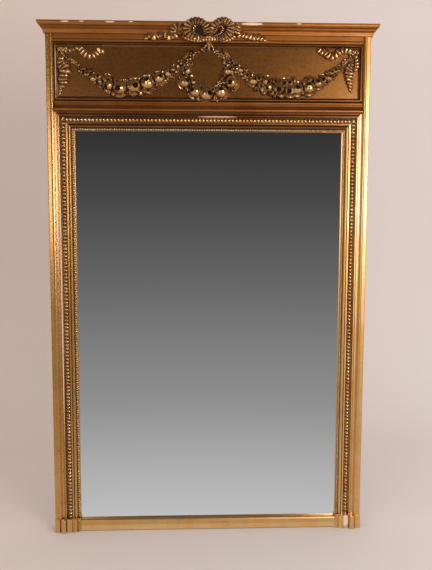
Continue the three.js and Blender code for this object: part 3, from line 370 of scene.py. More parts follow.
def gilding(name, gold, rubbed, bole, dirt_and_shade, roughness, hollow_mm, hollow, edge_wear_and_highlight, coat, flecked,
            ridges=False, chips=(), grain=0.14):
    """hollow: how shut in a place is where dirt and painted shade start and end;
    edge_wear_and_highlight: the same for edges, paled by wear and painted highlight.
    """
    material, tree, place = new_material(name)
    # Rubbing shows as flecks from 1 to 5 mm.
    flecks = node(tree, "TexNoise", Vector=place, Scale=210.0, Detail=6.0, Roughness=0.65)
    leaf = laid_leaf(tree, place, flecks, gold, rubbed, bole, flecked)
    # Where the surface is shut in, the gold darkens and dulls: dirt, and painted shade in creases
    # and under overhangs.
    shut_in = node(tree, "AmbientOcclusion", {"samples": 8}, Distance=hollow_mm * MM).outputs["AO"]
    dirt_and_shade_share = node(tree, "ValToRGB", stops=((hollow[0], 1.0), (hollow[1], 0.0)), Fac=shut_in)
    # Pointed edges are paled towards the rubbed colour: wear, and painted highlight where ridges
    # would catch the lamps.
    edge = node(tree, "NewGeometry").outputs["Pointiness"]
    edge_wear_and_highlight_share = node(tree, "ValToRGB", stops=((edge_wear_and_highlight[0], 0.0), (edge_wear_and_highlight[1], 0.8)), Fac=edge)
    final = node(tree, "Mix", BLEND_COLOURS, i0=edge_wear_and_highlight_share, i6=leaf, i7=rubbed)
    # The ridges of the upright bands turn pale: wear and painted highlight.
    if ridges:
        ridge_share = ridge_wear_and_highlight(tree, place, flecks)
        final = node(tree, "Mix", BLEND_COLOURS, i0=ridge_share, i6=final, i7=RIDGE_WEAR_AND_HIGHLIGHT)
    final = node(tree, "Mix", BLEND_COLOURS, i0=dirt_and_shade_share, i6=final, i7=dirt_and_shade)
    shine = node(tree, "MapRange", i0=dirt_and_shade_share, i3=0.92, i4=0.15)
    if chips:
        back = bare_back(tree, node(tree, "TexCoord").outputs["Normal"])
        wood, _ = pine_tone(tree, place, ACROSS, "A07C50", "6E4C2C")
        for bare, beneath in ((chipped(tree, place, flecks, chips), GESSO), (back, wood)):
            final = node(tree, "Mix", BLEND_COLOURS, i0=bare, i6=final, i7=beneath)
            shine = node(tree, "Mix", i0=bare, i2=shine, i3=0.0)
        coat = node(tree, "Mix", i0=back, i2=coat, i3=0.0)
    uneven = node(tree, "MapRange", i0=flecks, i1=0.3, i2=0.7, i3=roughness - 0.06,
                  i4=roughness + 0.10)
    rough = node(tree, "Mix", i0=dirt_and_shade_share, i2=uneven, i3=0.75)
    bump = node(tree, "Bump", Strength=grain, Distance=0.4 * MM, Height=flecks)
    shader = node(tree, "BsdfPrincipled", Base_Color=final, Metallic=shine, Roughness=rough,
                  Normal=bump, Coat_Weight=coat, Coat_Roughness=0.15)
    node(tree, "OutputMaterial", Surface=shader)
    return material


# %% [markdown]
# The same gold looks different from piece to piece: dark where size and dust have toned it, bright
# where it was burnished, pale on beads that every duster meets. Some of it is painted light: the
# pale of the beads is partly painted highlight, the right-hand pieces and the rail take a brighter
# copy as painted light, and the top of the surround takes the toned gold as painted shade under the
# architrave. So the recipe is mixed eight times.

# %% The golds of this mirror
CHIPS = [
    # Along the front edge of the cornice.
    (142, 98, 1770, 34, 9, 4.2), (-480, 98, 1771, 13, 7, 1.9), (-424, 98, 1772, 8, 7, 1.6),
    (-330, 98, 1771, 15, 7, 1.9), (-262, 98, 1772, 7, 7, 1.6), (300, 98, 1772, 8, 7, 1.6),
    # The scratches under the architrave and down the left band, and beside the frieze.
    (27, 70, 1467.5, 66, 60, 1.6), (-511, 70, 860, 2.4, 60, 480), (-517, 70, 1614, 1.2, 60, 80),
    # Two chips beside the beads and the bare patch on the right base block.
    (-396, 60, 1424, 4, 30, 4), (397, 60, 1424, 8, 30, 4), (497, 70, 30, 9, 30, 24),
]
burnished_gilding = gilding("burnished water gilding", "DC9A44", "E8AC5C", "8E4C22", "2B170A", 0.24,
                            22, (0.22, 0.52), (0.53, 0.62), 1.0, 0.40, ridges=True, chips=CHIPS)
# A brighter copy of the burnished gold for the right-hand pieces and the rail moulding: painted
# light where the key lamp falls.
painted_light_gilding = gilding("water gilding brightened as painted light", "F6B058", "FCCB86", "9A5626", "2B170A", 0.34,
                         22, (0.08, 0.36), (0.53, 0.62), 1.0, 0.30, ridges=True, chips=CHIPS)
# Dark toned gold for the frieze; on the top of the surround the same darkness is painted shade
# under the architrave.
toned_and_shaded_gilding = gilding("toned water gilding and painted shade", "7C4B23", "90602F", "5F2C14", "2A1408", 0.30,
                        14, (0.25, 0.65), (0.53, 0.62), 0.4, 0.10, chips=CHIPS, grain=0.06)
mellow_gilding = gilding("mellow water gilding", "9C5B27", "B2733A", "6A3216", "2A1408", 0.42,
                         14, (0.25, 0.60), (0.53, 0.62), 0.1, 0.40, chips=CHIPS)
carved_gilding = gilding("water gilding on carving", "C28343", "EDBB7C", "763A1A", "1C0C05", 0.22,
                         12, (0.40, 0.80), (0.60, 0.82), 1.0, 0.70)
fine_gilding = gilding("water gilding on fine carving", "CE8C42", "F2C88E", "7A4020", "3A1E0C",
                       0.22, 5, (0.30, 0.72), (0.56, 0.72), 0.8, 0.60)
# The ground behind the petals, darkened as painted shade.
shaded_gilding = gilding("gilding behind the leaves darkened as painted shade", "7A4A1E", "8A5A2A", "4A2410", "1E0F08",
                         0.40, 4, (0.35, 0.85), (0.60, 0.80), 0.1, 0.80)
# Pale cream beads: worn by dusting, and painted highlight.
bead_gilding = gilding("rubbed gilding with painted highlight on beads", "D6A05C", "F6D8A8", "8A5028", "1E0F08", 0.22,
                       5, (0.25, 0.70), (0.50, 0.64), 1.0, 0.40)

# %% [markdown]
# Gold leaf doesn't reach the bottom of a drilled hole or the ground behind the fruit. There the
# red-brown clay shows, darkened almost to black as painted shade, and it doesn't shine at all.

# %% Bare clay in the depths, darkened as painted shade


def bare_clay():
    material, tree, place = new_material("bole darkened as painted shade in the hollows")
    grain = node(tree, "TexNoise", Vector=place, Scale=300.0, Detail=4.0)
    # Near black: painted shade in the drilled holes, behind the fruit and inside the loops.
    tone = node(tree, "ValToRGB", stops=((0.35, "0C0502"), (0.70, "2C140A")), Fac=grain)
    bump = node(tree, "Bump", Strength=0.4, Distance=0.3 * MM, Height=grain)
    shader = node(tree, "BsdfPrincipled", Base_Color=tone, Roughness=0.8, Normal=bump)
    node(tree, "OutputMaterial", Surface=shader)
    return material


bole_in_painted_shade = bare_clay()

# %% [markdown]
# The plate is glass with silver behind it. It could be made as clear glass before a metal, but that
# doubles every reflection and renders slowly. What the eye sees is the silver, so the shader is a
# metal with hardly any roughness. Old plate was ground by hand, which leaves it faintly wavy.

# %% Silvered glass


def silvered_glass():
    material, tree, place = new_material("silvered plate glass")
    waves = node(tree, "TexNoise", Vector=place, Scale=6.0, Detail=1.0)
    bump = node(tree, "Bump", Strength=0.02, Distance=1.0 * MM, Height=waves)
    shader = node(tree, "BsdfPrincipled", Base_Color="F6F5F5", Metallic=1.0, Roughness=0.015,
                  Normal=bump)
    node(tree, "OutputMaterial", Surface=shader)
    return material


# %% [markdown]
# The carcass is planed pine and the backboards are rough-sawn, which makes them duller and darker.
# Water has left broad brown stains. The nails that hold the battens are sunk flush, so there is
# nothing to model: they are only dark spots in the wood's colour.

# %% Old softwood
BATTEN_NAILS = [(x, 0, z, 3.2, 6, 3.2) for z in (309, 343, 1145, 1180)
                for x in (-462, -246, 0, 246, 462)]


def softwood(name, light, dark, stretch, roughness, nails=()):
    material, tree, place = new_material(name)
    tone, grain = pine_tone(tree, place, stretch, light, dark)
    stains = node(tree, "TexNoise", Vector=place, Scale=7.0, Detail=5.0)
    stain_share = node(tree, "ValToRGB", stops=((0.45, 0.0), (0.70, 0.45)), Fac=stains)
    final = node(tree, "Mix", BLEND_COLOURS, i0=stain_share, i6=tone, i7="4A3423")
    if nails:
        spots = chipped(tree, place, stains, nails)
        final = node(tree, "Mix", BLEND_COLOURS, i0=spots, i6=final, i7="231B15")
    bump = node(tree, "Bump", Strength=0.5, Distance=0.5 * MM, Height=grain)
    shader = node(tree, "BsdfPrincipled", Base_Color=final, Roughness=roughness, Normal=bump)
    node(tree, "OutputMaterial", Surface=shader)
    return material


planed_pine_up = softwood("planed pine, upright", "B08A5C", "7C5630", UPRIGHT, 0.62)
planed_pine_level = softwood("planed pine, level", "B08A5C", "7C5630", ACROSS, 0.62, BATTEN_NAILS)
sawn_boards = softwood("rough-sawn backboards", "8E7150", "5B4128", UPRIGHT, 0.85)

# %% [markdown]
# The rings and plates are dull brass, the screws and nails dark iron. A flat colour would look like
# new metal, so one fine noise mottles both the colour and the roughness: darker where rougher.

# %% Metals


def old_metal(name, light, dark, roughness):
    material, tree, place = new_material(name)
    mottling = node(tree, "TexNoise", Vector=place, Scale=450.0, Detail=5.0)
    tone = node(tree, "ValToRGB", stops=((0.35, dark), (0.62, light)), Fac=mottling)
    rough = node(tree, "MapRange", i0=mottling, i1=0.3, i2=0.7, i3=roughness + 0.15, i4=roughness)
    shader = node(tree, "BsdfPrincipled", Base_Color=tone, Metallic=1.0, Roughness=rough)
    node(tree, "OutputMaterial", Surface=shader)
    return material


aged_brass = old_metal("aged brass", "C9A560", "6E5428", 0.34)
dark_iron = old_metal("dark iron", "6A625A", "33291F", 0.45)

# %% [markdown]
# The CAD mouldings have knife-sharp arrises. Gesso and burnishing round them on the real one, and
# only a round arris catches a line of light. The meshes stay as they are, so modifiers do it: a
# weld, to join the loose triangles, and a narrow bevel of 0.8 mm.

# %% Dress the CAD nodes
LEVEL_PINE = ("rail", "batten", "cap_board")
# The frieze is toned; the top of the surround takes the same dark gold as painted shade under the
# architrave.
TONED_AND_SHADED = ("frieze", "surround_top")
MELLOW = ("top_band", "cornice", "architrave")
# Pieces that take the brighter copy: painted light on the lit right side and the rail.
PAINTED_LIGHT_PIECES = ("outer_band_right", "surround_right", "rail_moulding", "base_block_right")
SLOT_MATERIALS = {
    "gilding": burnished_gilding,
    "carved_gilding": carved_gilding,
    "pine": planed_pine_up,
    "planks": sawn_boards,
    "silvered_glass": silvered_glass(),
    "ring_brass": aged_brass,
    "screw_steel": dark_iron,
}
WELD_DISTANCE = 0.02 * MM
ARRIS = 0.8 * MM
ARRIS_ANGLE = math.radians(32)


def soften(piece):
    piece.modifiers.new("weld", "WELD").merge_threshold = WELD_DISTANCE
    bevel = piece.modifiers.new("rounded arris", "BEVEL")
    bevel.width, bevel.segments = ARRIS, 2
    bevel.limit_method, bevel.angle_limit = "ANGLE", ARRIS_ANGLE


slots = {entry["node"]: entry["material_slot"] for entry in frame["record"]["subparts"]}
for name, piece in frame["nodes"].items():
    slot_name = slots[name]
    chosen = SLOT_MATERIALS[slot_name]
    if slot_name == "pine" and any(word in name for word in LEVEL_PINE):
        chosen = planed_pine_level
    if any(word in name for word in TONED_AND_SHADED):
        chosen = toned_and_shaded_gilding
    if any(word in name for word in MELLOW):
        chosen = mellow_gilding
    if name in PAINTED_LIGHT_PIECES:
        chosen = painted_light_gilding
    piece.data.materials.clear()
    piece.data.materials.append(chosen)
    if slot_name in ("gilding", "pine", "planks"):
        soften(piece)
print("dressed", len(frame["nodes"]), "CAD nodes")

# %% [markdown]
# Every new piece is finished in the same way: smooth shading with the arrises kept, a material, and
# the body it rides on. A piece that stands for a CAD node hides it.

# %% Helpers for new pieces


def take(piece):
    """Makes a piece the only one selected, so that the next operator works on it alone."""
    bpy.ops.object.select_all(action="DESELECT")
    piece.select_set(True)
    bpy.context.view_layer.objects.active = piece


def adopt(piece, name, material, replaced=(), smooth_angle=40, depths=()):
    piece.name = name
    piece.data.name = name
    # Clearing the list would also reset which face has which finish, so it's only filled.
    if not piece.data.materials:
        for finish in (material, *depths):
            piece.data.materials.append(finish)
    take(piece)
    bpy.ops.object.transform_apply(location=True, rotation=True, scale=True)
    bpy.ops.object.shade_smooth_by_angle(angle=math.radians(smooth_angle))
    piece.select_set(False)
    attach(piece, "mirror")
    if replaced:
        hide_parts(*replaced)
    print(name, len(piece.data.polygons), "faces")


def object_from(bm, name):
    bmesh.ops.recalc_face_normals(bm, faces=bm.faces)
    mesh = bpy.data.meshes.new(name)
    bm.to_mesh(mesh)
    bm.free()
    return add_object(name, mesh)


def apply_modifiers(piece):
    take(piece)
    for modifier in list(piece.modifiers):
        bpy.ops.object.modifier_apply(modifier=modifier.name)


def repeat(piece, count, step):
    """An Array modifier that sets the piece down again at every step."""
    row = piece.modifiers.new("row", "ARRAY")
    row.count = count
    row.use_relative_offset = False
    row.use_constant_offset = True
    row.constant_offset_displace = step


def stamp(bm, pattern, matrix):
    """Sets one copy of a pattern down in a mesh."""
    start = len(bm.verts)
    bm.from_mesh(pattern)
    bm.verts.ensure_lookup_table()
    bmesh.ops.transform(bm, matrix=matrix, verts=bm.verts[start:])


# %% [markdown]
# Every ornament below starts as a primitive and is shaped in edit mode, as by hand. One helper
# adds the primitive, others open a piece for editing and pick its faces or points by their place,
# and the last takes a finished shape as a pattern, to set down as often as the carver repeats it.

# %% Helpers for modelling by hand


def begin(primitive, **settings):
    """Adds a primitive with nothing else selected, its place and turn taken into its mesh."""
    bpy.ops.object.select_all(action="DESELECT")
    primitive(**settings)
    bpy.ops.object.transform_apply(location=True, rotation=True, scale=True)
    return bpy.context.active_object


def open_for_editing(piece):
    take(piece)
    bpy.ops.object.mode_set(mode="EDIT")
    bpy.ops.mesh.select_mode(type="FACE")


def pick_faces(piece, test):
    bpy.ops.mesh.select_all(action="DESELECT")
    bm = bmesh.from_edit_mesh(piece.data)
    for face in bm.faces:
        face.select_set(bool(test(face.calc_center_median(), face.normal)))
    bmesh.update_edit_mesh(piece.data)


def pick_points(piece, test):
    bpy.ops.mesh.select_mode(type="VERT")
    bpy.ops.mesh.select_all(action="DESELECT")
    bm = bmesh.from_edit_mesh(piece.data)
    for point in bm.verts:
        point.select_set(bool(test(point.co)))
    bmesh.update_edit_mesh(piece.data)


def paint_depths(piece, test):
    """Gives the faces that pass the test the piece's second material."""
    bm = bmesh.from_edit_mesh(piece.data)
    for face in bm.faces:
        if test(face.calc_center_median(), face.normal):
            face.material_index = 1
    bmesh.update_edit_mesh(piece.data)


def cut_off(point, away):
    """Cuts off all that lies beyond a plane, and closes the cut."""
    bpy.ops.mesh.select_all(action="SELECT")
    bpy.ops.mesh.bisect(plane_co=point, plane_no=away, use_fill=True, clear_outer=True)


def move(x, y, z):
    bpy.ops.transform.translate(value=(x, y, z))


def scale(x, y, z, centre=(0, 0, 0)):
    bpy.ops.transform.resize(value=(x, y, z), center_override=centre)


def close_editing():
    bpy.ops.object.mode_set(mode="OBJECT")


def as_pattern(name):
    """Takes the mesh of the active piece as a pattern, and the piece away."""
    close_editing()
    piece = bpy.context.active_object
    bpy.ops.object.transform_apply(location=True, rotation=True, scale=True)
    mesh = piece.data.copy()
    mesh.name = name
    bpy.data.objects.remove(piece)
    print("pattern", name, len(mesh.polygons), "faces")
    return mesh


# %% [markdown]
# The bead row beside the glass is one carved bead repeated every 8.3 mm. Each bead could be set by
# hand, but an Array modifier keeps the pitch even. A sphere with few faces is enough at this size,
# and it is halved, because its back is buried in the channel.

# %% Bead rows
BEAD_PITCH = 8.3 * MM
BEAD_RADIUS = 4.1 * MM
BEAD_END = 4.4 * MM  # from the end of the strip to the middle of the last bead
BEAD_DEPTH = 2.6 * MM  # from the bottom of the channel to the middle of a bead


def bead_row(side):
    low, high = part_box(f"bead_strip_{side}")
    middle = (low + high) / 2
    level = side == "top"
    start = low.x + BEAD_END if level else low.z + BEAD_RADIUS
    end = high.x - BEAD_END if level else high.z - BEAD_END
    count = round((end - start) / BEAD_PITCH)
    step = (end - start) / count
    out = high.y - BEAD_DEPTH
    place = (start, out, middle.z) if level else (middle.x, out, start)
    piece = begin(bpy.ops.mesh.primitive_uv_sphere_add, segments=10, ring_count=6,
                  radius=BEAD_RADIUS, location=place, rotation=(math.pi / 2, 0, 0))
    open_for_editing(piece)
    cut_off((0, high.y, 0), (0, 1, 0))
    close_editing()
    repeat(piece, count if level else count + 1, (step, 0, 0) if level else (0, 0, step))
    apply_modifiers(piece)
    adopt(piece, f"bead_row_{side}", bead_gilding, [f"bead_strip_{side}"], 80)


for side in ("left", "right", "top"):
    bead_row(side)

# %% [markdown]
# The leaf strip is a running pattern of plump petals, broad at the outer edge and pinched at the
# inner one, so that a dark hole stays between two of them, with a round bud after every fourth
# petal. One petal is a sphere of few faces, flattened, pinched and creased down its middle.

# %% One petal and one bud


def make_petal():
    piece = begin(bpy.ops.mesh.primitive_uv_sphere_add, segments=12, ring_count=8, radius=1,
                  rotation=(math.pi / 2, 0, 0))
    open_for_editing(piece)
    pick_points(piece, lambda p: True)
    scale(6.4, 8.3, 7.2)
    pick_points(piece, lambda p: p.y > 1)
    scale(0.86, 1, 0.92)
    pick_points(piece, lambda p: p.y > 4)
    scale(0.62, 1, 0.80)
    pick_points(piece, lambda p: abs(p.x) < 1.1 and p.z > 1 and abs(p.y) < 7)
    move(0, 0, -2.2)
    cut_off((0, 0, -0.4), (0, 0, -1))
    return as_pattern("petal")


def make_bud():
    piece = begin(bpy.ops.mesh.primitive_uv_sphere_add, segments=8, ring_count=6, radius=3.1)
    open_for_editing(piece)
    pick_faces(piece, lambda middle, normal: normal.z < -0.8)
    bpy.ops.mesh.inset(thickness=0.5, depth=1.0)
    return as_pattern("bud")


PETAL, BUD = make_petal(), make_bud()

# %% [markdown]
# The petals are set down on a thin bar, petal by petal from the mitred corner, where one larger
# leaf covers the mitre. An Array modifier couldn't leave out three buds of four, so a loop does it.
# The strips are right-handed and left-handed only through their placing.

# %% Leaf strips
PETAL_PITCH = 12.5
GROUND = 4.0 * MM  # thickness of the bar behind the petals
BUD_INWARD, BUD_OUT = 2.6 * MM, 4.6 * MM
CORNER_LEAF = 1.25  # its size, in petals
INWARD = {"left": Vector((1, 0, 0)), "right": Vector((-1, 0, 0)), "top": Vector((0, 0, -1))}


def strip_turn(side):
    """Columns: along the strip, across it towards the glass, and out of the wall."""
    outward = Vector((0, -1, 0))
    return Matrix((INWARD[side].cross(outward), INWARD[side], outward)).transposed().to_4x4()


def leaf_bar(low, high, level):
    """The ground of a leaf strip, its front edge drawn in and its face darkened as painted shade.
    """
    size = Vector((high.x - low.x, GROUND, high.z - low.z))
    centre = Vector(((low.x + high.x) / 2, high.y - GROUND / 2, (low.z + high.z) / 2))
    if not level:
        size.z -= high.x - low.x
        centre.z -= (high.x - low.x) / 2
    bar = begin(bpy.ops.mesh.primitive_cube_add, size=1, location=centre, scale=size)
    open_for_editing(bar)
    pick_faces(bar, lambda middle, normal: normal.y < -0.9)
    bpy.ops.mesh.inset(thickness=1.2 * MM, depth=0.6 * MM)
    # Its face takes the darker gilding: painted shade behind the petals.
    paint_depths(bar, lambda middle, normal: normal.y < -0.2)
    return as_pattern("strip ground")


def leaf_strip(side):
    low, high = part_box(f"leaf_strip_{side}")
    level = side == "top"
    width = (high.z - low.z) if level else (high.x - low.x)
    bm = bmesh.new()
    bm.from_mesh(leaf_bar(low, high, level))
    start, end = (low.x + width, high.x - width) if level else (low.z, high.z - width)
    count = round((end - start) / MM / PETAL_PITCH)
    step = (end - start) / count
    turn = strip_turn(side)
    middle = (low + high) / 2
    middle.y = high.y - GROUND
    bud_off = turn.to_3x3() @ Vector((0, BUD_INWARD, BUD_OUT))
    bud_off += Vector((step / 2, 0, 0)) if level else Vector((0, 0, -step / 2))
    for i in range(count):
        run = end - (i + 0.5) * step
        place = Vector((run, middle.y, middle.z)) if level else Vector((middle.x, middle.y, run))
        stamp(bm, PETAL, Matrix.Translation(place) @ turn @ Matrix.Scale(MM, 4))
        # On the level strip the buds count from its middle, so that both halves match.
        every_fourth = i - count // 2 if level else i - 1
        if every_fourth % 4 == 0:
            stamp(bm, BUD, Matrix.Translation(place + bud_off) @ turn @ Matrix.Scale(MM, 4))
    if level:
        for x, angle in ((low.x + width / 2, 45), (high.x - width / 2, -45)):
            lay = Matrix.Rotation(math.radians(angle), 4, "Y") @ turn
            place = Vector((x, middle.y, middle.z))
            stamp(bm, PETAL, Matrix.Translation(place) @ lay @ Matrix.Scale(CORNER_LEAF * MM, 4))
    name = f"leaf_carving_{side}"
    adopt(object_from(bm, name), name, fine_gilding, [f"leaf_strip_{side}"], 60,
          [shaded_gilding])


for side in ("left", "right", "top"):
    leaf_strip(side)

# %% [markdown]
# Garlands are built up as the carver plans them. An apple, a berry, a five-petalled flower and a
# leaf are each made once at a size of 1 and then copied along the garland, turned and scaled. Apple
# and berry have their end drilled in, which the eye reads as a dark dot in each fruit.

# %% Patterns for the garlands


def make_fruit(name, segments, rings, cap, rim, depth):
    piece = begin(bpy.ops.mesh.primitive_uv_sphere_add, segments=segments, ring_count=rings,
                  radius=1)
    open_for_editing(piece)
    # The drilled end: a raised rim, then straight in.
    pick_faces(piece, lambda middle, normal: middle.z > cap)
    bpy.ops.mesh.inset(thickness=rim, depth=rim * 0.5)
    bpy.ops.mesh.inset(thickness=rim * 0.5, depth=-depth)
    floor = 0.9 - depth * 0.5
    # The walls and floor of the hole take the dark clay: painted shade.
    paint_depths(piece, lambda middle, normal: math.hypot(middle.x, middle.y) < 0.5
                 and -0.2 < middle.z
                 and (normal.z > 0.8 and middle.z < floor or abs(normal.z) < 0.4))
    # The stalk end is drawn out a little, so the fruit isn't a plain ball.
    pick_points(piece, lambda p: p.z < -0.6)
    scale(0.86, 0.86, 1.06)
    return as_pattern(name)


def make_flower():
    bpy.ops.object.select_all(action="DESELECT")
    for i in range(5):
        turn = 2 * math.pi * i / 5
        bpy.ops.mesh.primitive_uv_sphere_add(
            segments=8, ring_count=6, radius=1,
            location=(0.56 * math.cos(turn), 0.56 * math.sin(turn), 0),
            scale=(0.46, 0.38, 0.30), rotation=(0, -0.35, turn),
        )
    bpy.ops.mesh.primitive_uv_sphere_add(segments=8, ring_count=6, radius=0.30,
                                         location=(0, 0, 0.20))
    for piece in bpy.context.view_layer.objects:
        if piece.name.startswith("Sphere"):
            piece.select_set(True)
    bpy.ops.object.join()
    return as_pattern("flower")


def make_leaf():
    """A plump pointed leaf from x = 0 to 1, creased along its midrib."""
    piece = begin(bpy.ops.mesh.primitive_uv_sphere_add, segments=12, ring_count=10, radius=0.5,
                  location=(0.5, 0, 0), rotation=(0, math.pi / 2, 0))
    open_for_editing(piece)
    pick_points(piece, lambda p: True)
    scale(1, 0.52, 0.30, (0.5, 0, 0))
    pick_points(piece, lambda p: p.x > 0.55)
    scale(1.12, 0.80, 0.85, (0.55, 0, 0))
    pick_points(piece, lambda p: p.z > 0.02 and abs(p.y) < 0.03)
    move(0, 0, -0.085)
    pick_points(piece, lambda p: p.x > 0.75)
    move(0, 0, -0.08)
    return as_pattern("leaf")


APPLE = make_fruit("apple", 18, 14, 0.90, 0.06, 0.50)
BERRY = make_fruit("berry", 10, 7, 0.86, 0.07, 0.45)
FLOWER, LEAF = make_flower(), make_leaf()

# %% [markdown]
# A garland follows a spine: a few places with a radius. They are joined by a smooth curve, walked
# over at an even spacing, and a flattened core along it gives the garland a body. Depths are
# counted out from the wall, so "out" 60 mm is the face of the frieze panel.

# %% The spine and the core of a garland
PANEL_FACE = -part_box("frieze_panel")[0].y / MM
CURVE_STEPS = 12
CORE_WIDTH, CORE_DEPTH, CORE_SIDES = 0.70, 0.50, 10  # the first two in shares of the radius


def smooth_curve(points, closed):
    count = len(points)
    curve = []
    for i in range(count if closed else count - 1):
        knots = [points[(i + k) % count] if closed else points[min(max(i + k, 0), count - 1)]
                 for k in (-1, 0, 1, 2)]
        for j in range(CURVE_STEPS):
            t = j / CURVE_STEPS
            curve.append([
                0.5 * (2 * b + (c - a) * t + (2 * a - 5 * b + 4 * c - d) * t * t
                       + (3 * b - a - 3 * c + d) * t ** 3)
                for a, b, c, d in zip(*knots)
            ])
    curve.append(curve[0] if closed else list(points[-1]))
    return curve


def resampled(points, spacing, closed):
    """Points at an even spacing on a smooth curve through the given ones."""
    curve = smooth_curve(points, closed)
    result = [curve[0]]
    left = spacing
    for a, b in zip(curve, curve[1:]):
        run = math.dist(a[:2], b[:2])
        while run > 0 and left <= run:
            share = left / run
            a = [p + (q - p) * share for p, q in zip(a, b)]
            result.append(a)
            run = math.dist(a[:2], b[:2])
            left = spacing
        left -= run
    return result


def directions(points, closed):
    count = len(points)
    result = []
    for i in range(count):
        before = points[i - 1] if closed or i > 0 else points[i]
        after = points[(i + 1) % count] if closed or i < count - 1 else points[i]
        result.append(Vector((after[0] - before[0], after[1] - before[1])).normalized())
    return result


def add_core(bm, points, runs, closed):
    rings = []
    for (x, z, radius), run in zip(points, runs):
        ring = []
        for j in range(CORE_SIDES):
            turn = 2 * math.pi * j / CORE_SIDES
            aside = radius * CORE_WIDTH * math.cos(turn)
            out = PANEL_FACE + max(radius * CORE_DEPTH * math.sin(turn), 0) - 0.2
            ring.append(bm.verts.new(((x - run.y * aside) * MM, -out * MM,
                                      BASE + (z + run.x * aside) * MM)))
        rings.append(ring)
    # The core's faces take the dark clay: painted shade in the gaps between the fruits.
    for first, second in zip(rings, rings[1:] + (rings[:1] if closed else [])):
        for j in range(CORE_SIDES):
            k = (j + 1) % CORE_SIDES
            bm.faces.new((first[j], first[k], second[k], second[j])).material_index = 1
    if not closed:
        bm.faces.new(rings[0])
        bm.faces.new(rings[-1])


# %% [markdown]
# On the core the carver lays large fruits first, and the largest lie in leaves of their own. There
# are hundreds of copies, so code sets them down and not the hand.

# %% Laying fruits and leaves
SWELL = 1.10  # the fruits are carved a little fuller than their outlines measure
APPLE_FROM, CRADLED_FROM = 10, 14  # the radius from which a fruit is an apple, and lies in leaves


def spot(x, z, out):
    return Matrix.Translation((x * MM, -out * MM, BASE + z * MM))


def aimed(hx, hz, roll=0.0):
    """Turns a pattern whose front is +Z so that it faces the room, leaning towards (hx, hz)."""
    front = Vector((hx, -1, hz)).normalized()
    return front.to_track_quat("Z", "Y").to_matrix().to_4x4() @ Matrix.Rotation(roll, 4, "Z")


def set_leaf(bm, x, z, out, heading, length, wide=1.0, roll=0.0):
    """Lays a leaf flat with its stalk at the place and its tip towards the heading (radians)."""
    flat = Matrix.Rotation(math.pi / 2, 4, "X")
    lay = Matrix.Rotation(-heading, 4, "Y") @ flat
    size = Matrix.Diagonal((length * MM, length * wide * MM, length * MM, 1))
    stamp(bm, LEAF, spot(x, z, out) @ lay @ Matrix.Rotation(roll, 4, "X") @ size)


def set_fruit(bm, rng, x, z, radius, hx, hz, inside):
    radius *= SWELL
    size = Matrix.Diagonal((radius * MM, radius * MM * 0.85, radius * MM, 1))
    stamp(bm, APPLE if radius >= APPLE_FROM else BERRY,
          spot(x, z, PANEL_FACE + radius * 0.66) @ size @ aimed(hx, hz, rng.uniform(0, 6.28)))
    if radius < CRADLED_FROM:
        return
    # A leaf cradles the fruit from below, and in the swags a shorter one from above.
    away = Vector((x - inside[0], z - inside[1])).normalized() if inside else Vector((0, -1))
    along = Vector((-away.y, away.x))
    for way, reach in ((1, 1.9),) if inside else ((1, 1.9), (-1, 1.5)):
        root = Vector((x, z)) + away * way * radius * 0.98 - along * radius * reach / 2
        set_leaf(bm, root.x, root.y, PANEL_FACE + radius * 0.42, math.atan2(along.y, along.x),
                 radius * reach, roll=0.5 * way)


# %% [markdown]
# Then pointed leaves stand out along both borders, and berries and flowers fill the gaps wherever
# one still fits. The draws are seeded, so the garland is the same each time.

# %% A whole garland
SPINE_SPACING = 6.0
BORDER_LEAF_FROM = 6  # the garland's radius from which it has leaves along its borders
BORDER_LEAF_SIZES = (13, 30)
FILLING_TRIES = 14  # for each point of the spine
FILLING_SIZES = (5.2, 11.5)
FLOWER_FROM = 7.5


def held(value, limits):
    return min(max(value, limits[0]), limits[1])


def set_border_leaves(bm, rng, x, z, radius, run, inside):
    for edge in (-1, 1):
        normal = Vector((-run.y, run.x)) * edge
        if inside:
            outer = normal.dot(Vector((x - inside[0], z - inside[1]))) > 0
        else:
            outer = normal.y < 0
        length = held(radius * (1.2 if outer else 0.9), BORDER_LEAF_SIZES) * rng.uniform(0.9, 1.2)
        along = run if rng.random() < 0.7 else -run
        swing = (normal + along * rng.uniform(0.5, 1.2)).normalized()
        root = Vector((x, z)) + normal * (radius * 1.02 - length * 0.80)
        set_leaf(bm, root.x, root.y, PANEL_FACE + radius * 0.28 + rng.uniform(0, 2),
                 math.atan2(swing.y, swing.x), length, 0.9, rng.uniform(-0.4, 0.4))


def fill_gaps(bm, rng, points, fruits, inside):
    taken = [(x, z, radius) for x, z, radius, hx, hz in fruits]
    for _ in range(len(points) * FILLING_TRIES):
        x, z, radius = points[rng.randrange(len(points))]
        turn = rng.uniform(0, 2 * math.pi)
        offset = radius * 0.85 * math.sqrt(rng.random())
        px, pz = x + offset * math.cos(turn), z + offset * math.sin(turn)
        size = held(radius * rng.uniform(0.30, 0.46), FILLING_SIZES)
        if any(math.hypot(px - a, pz - b) < c * 0.92 + size * 0.72 for a, b, c in taken):
            continue
        if inside and math.hypot((px - inside[0]) / inside[2], (pz - inside[1]) / inside[3]) < 1:
            continue
        taken.append((px, pz, size))
        height = max(radius * 0.50 * (1 - (offset / radius) ** 2), 2.0) + size * 0.35
        pattern = FLOWER if size > FLOWER_FROM and rng.random() < 0.35 else BERRY
        lean = (rng.uniform(-0.7, 0.7), rng.uniform(-0.6, 0.5))
        stamp(bm, pattern,
              spot(px, pz, PANEL_FACE + height) @ aimed(*lean) @ Matrix.Scale(size * MM, 4))


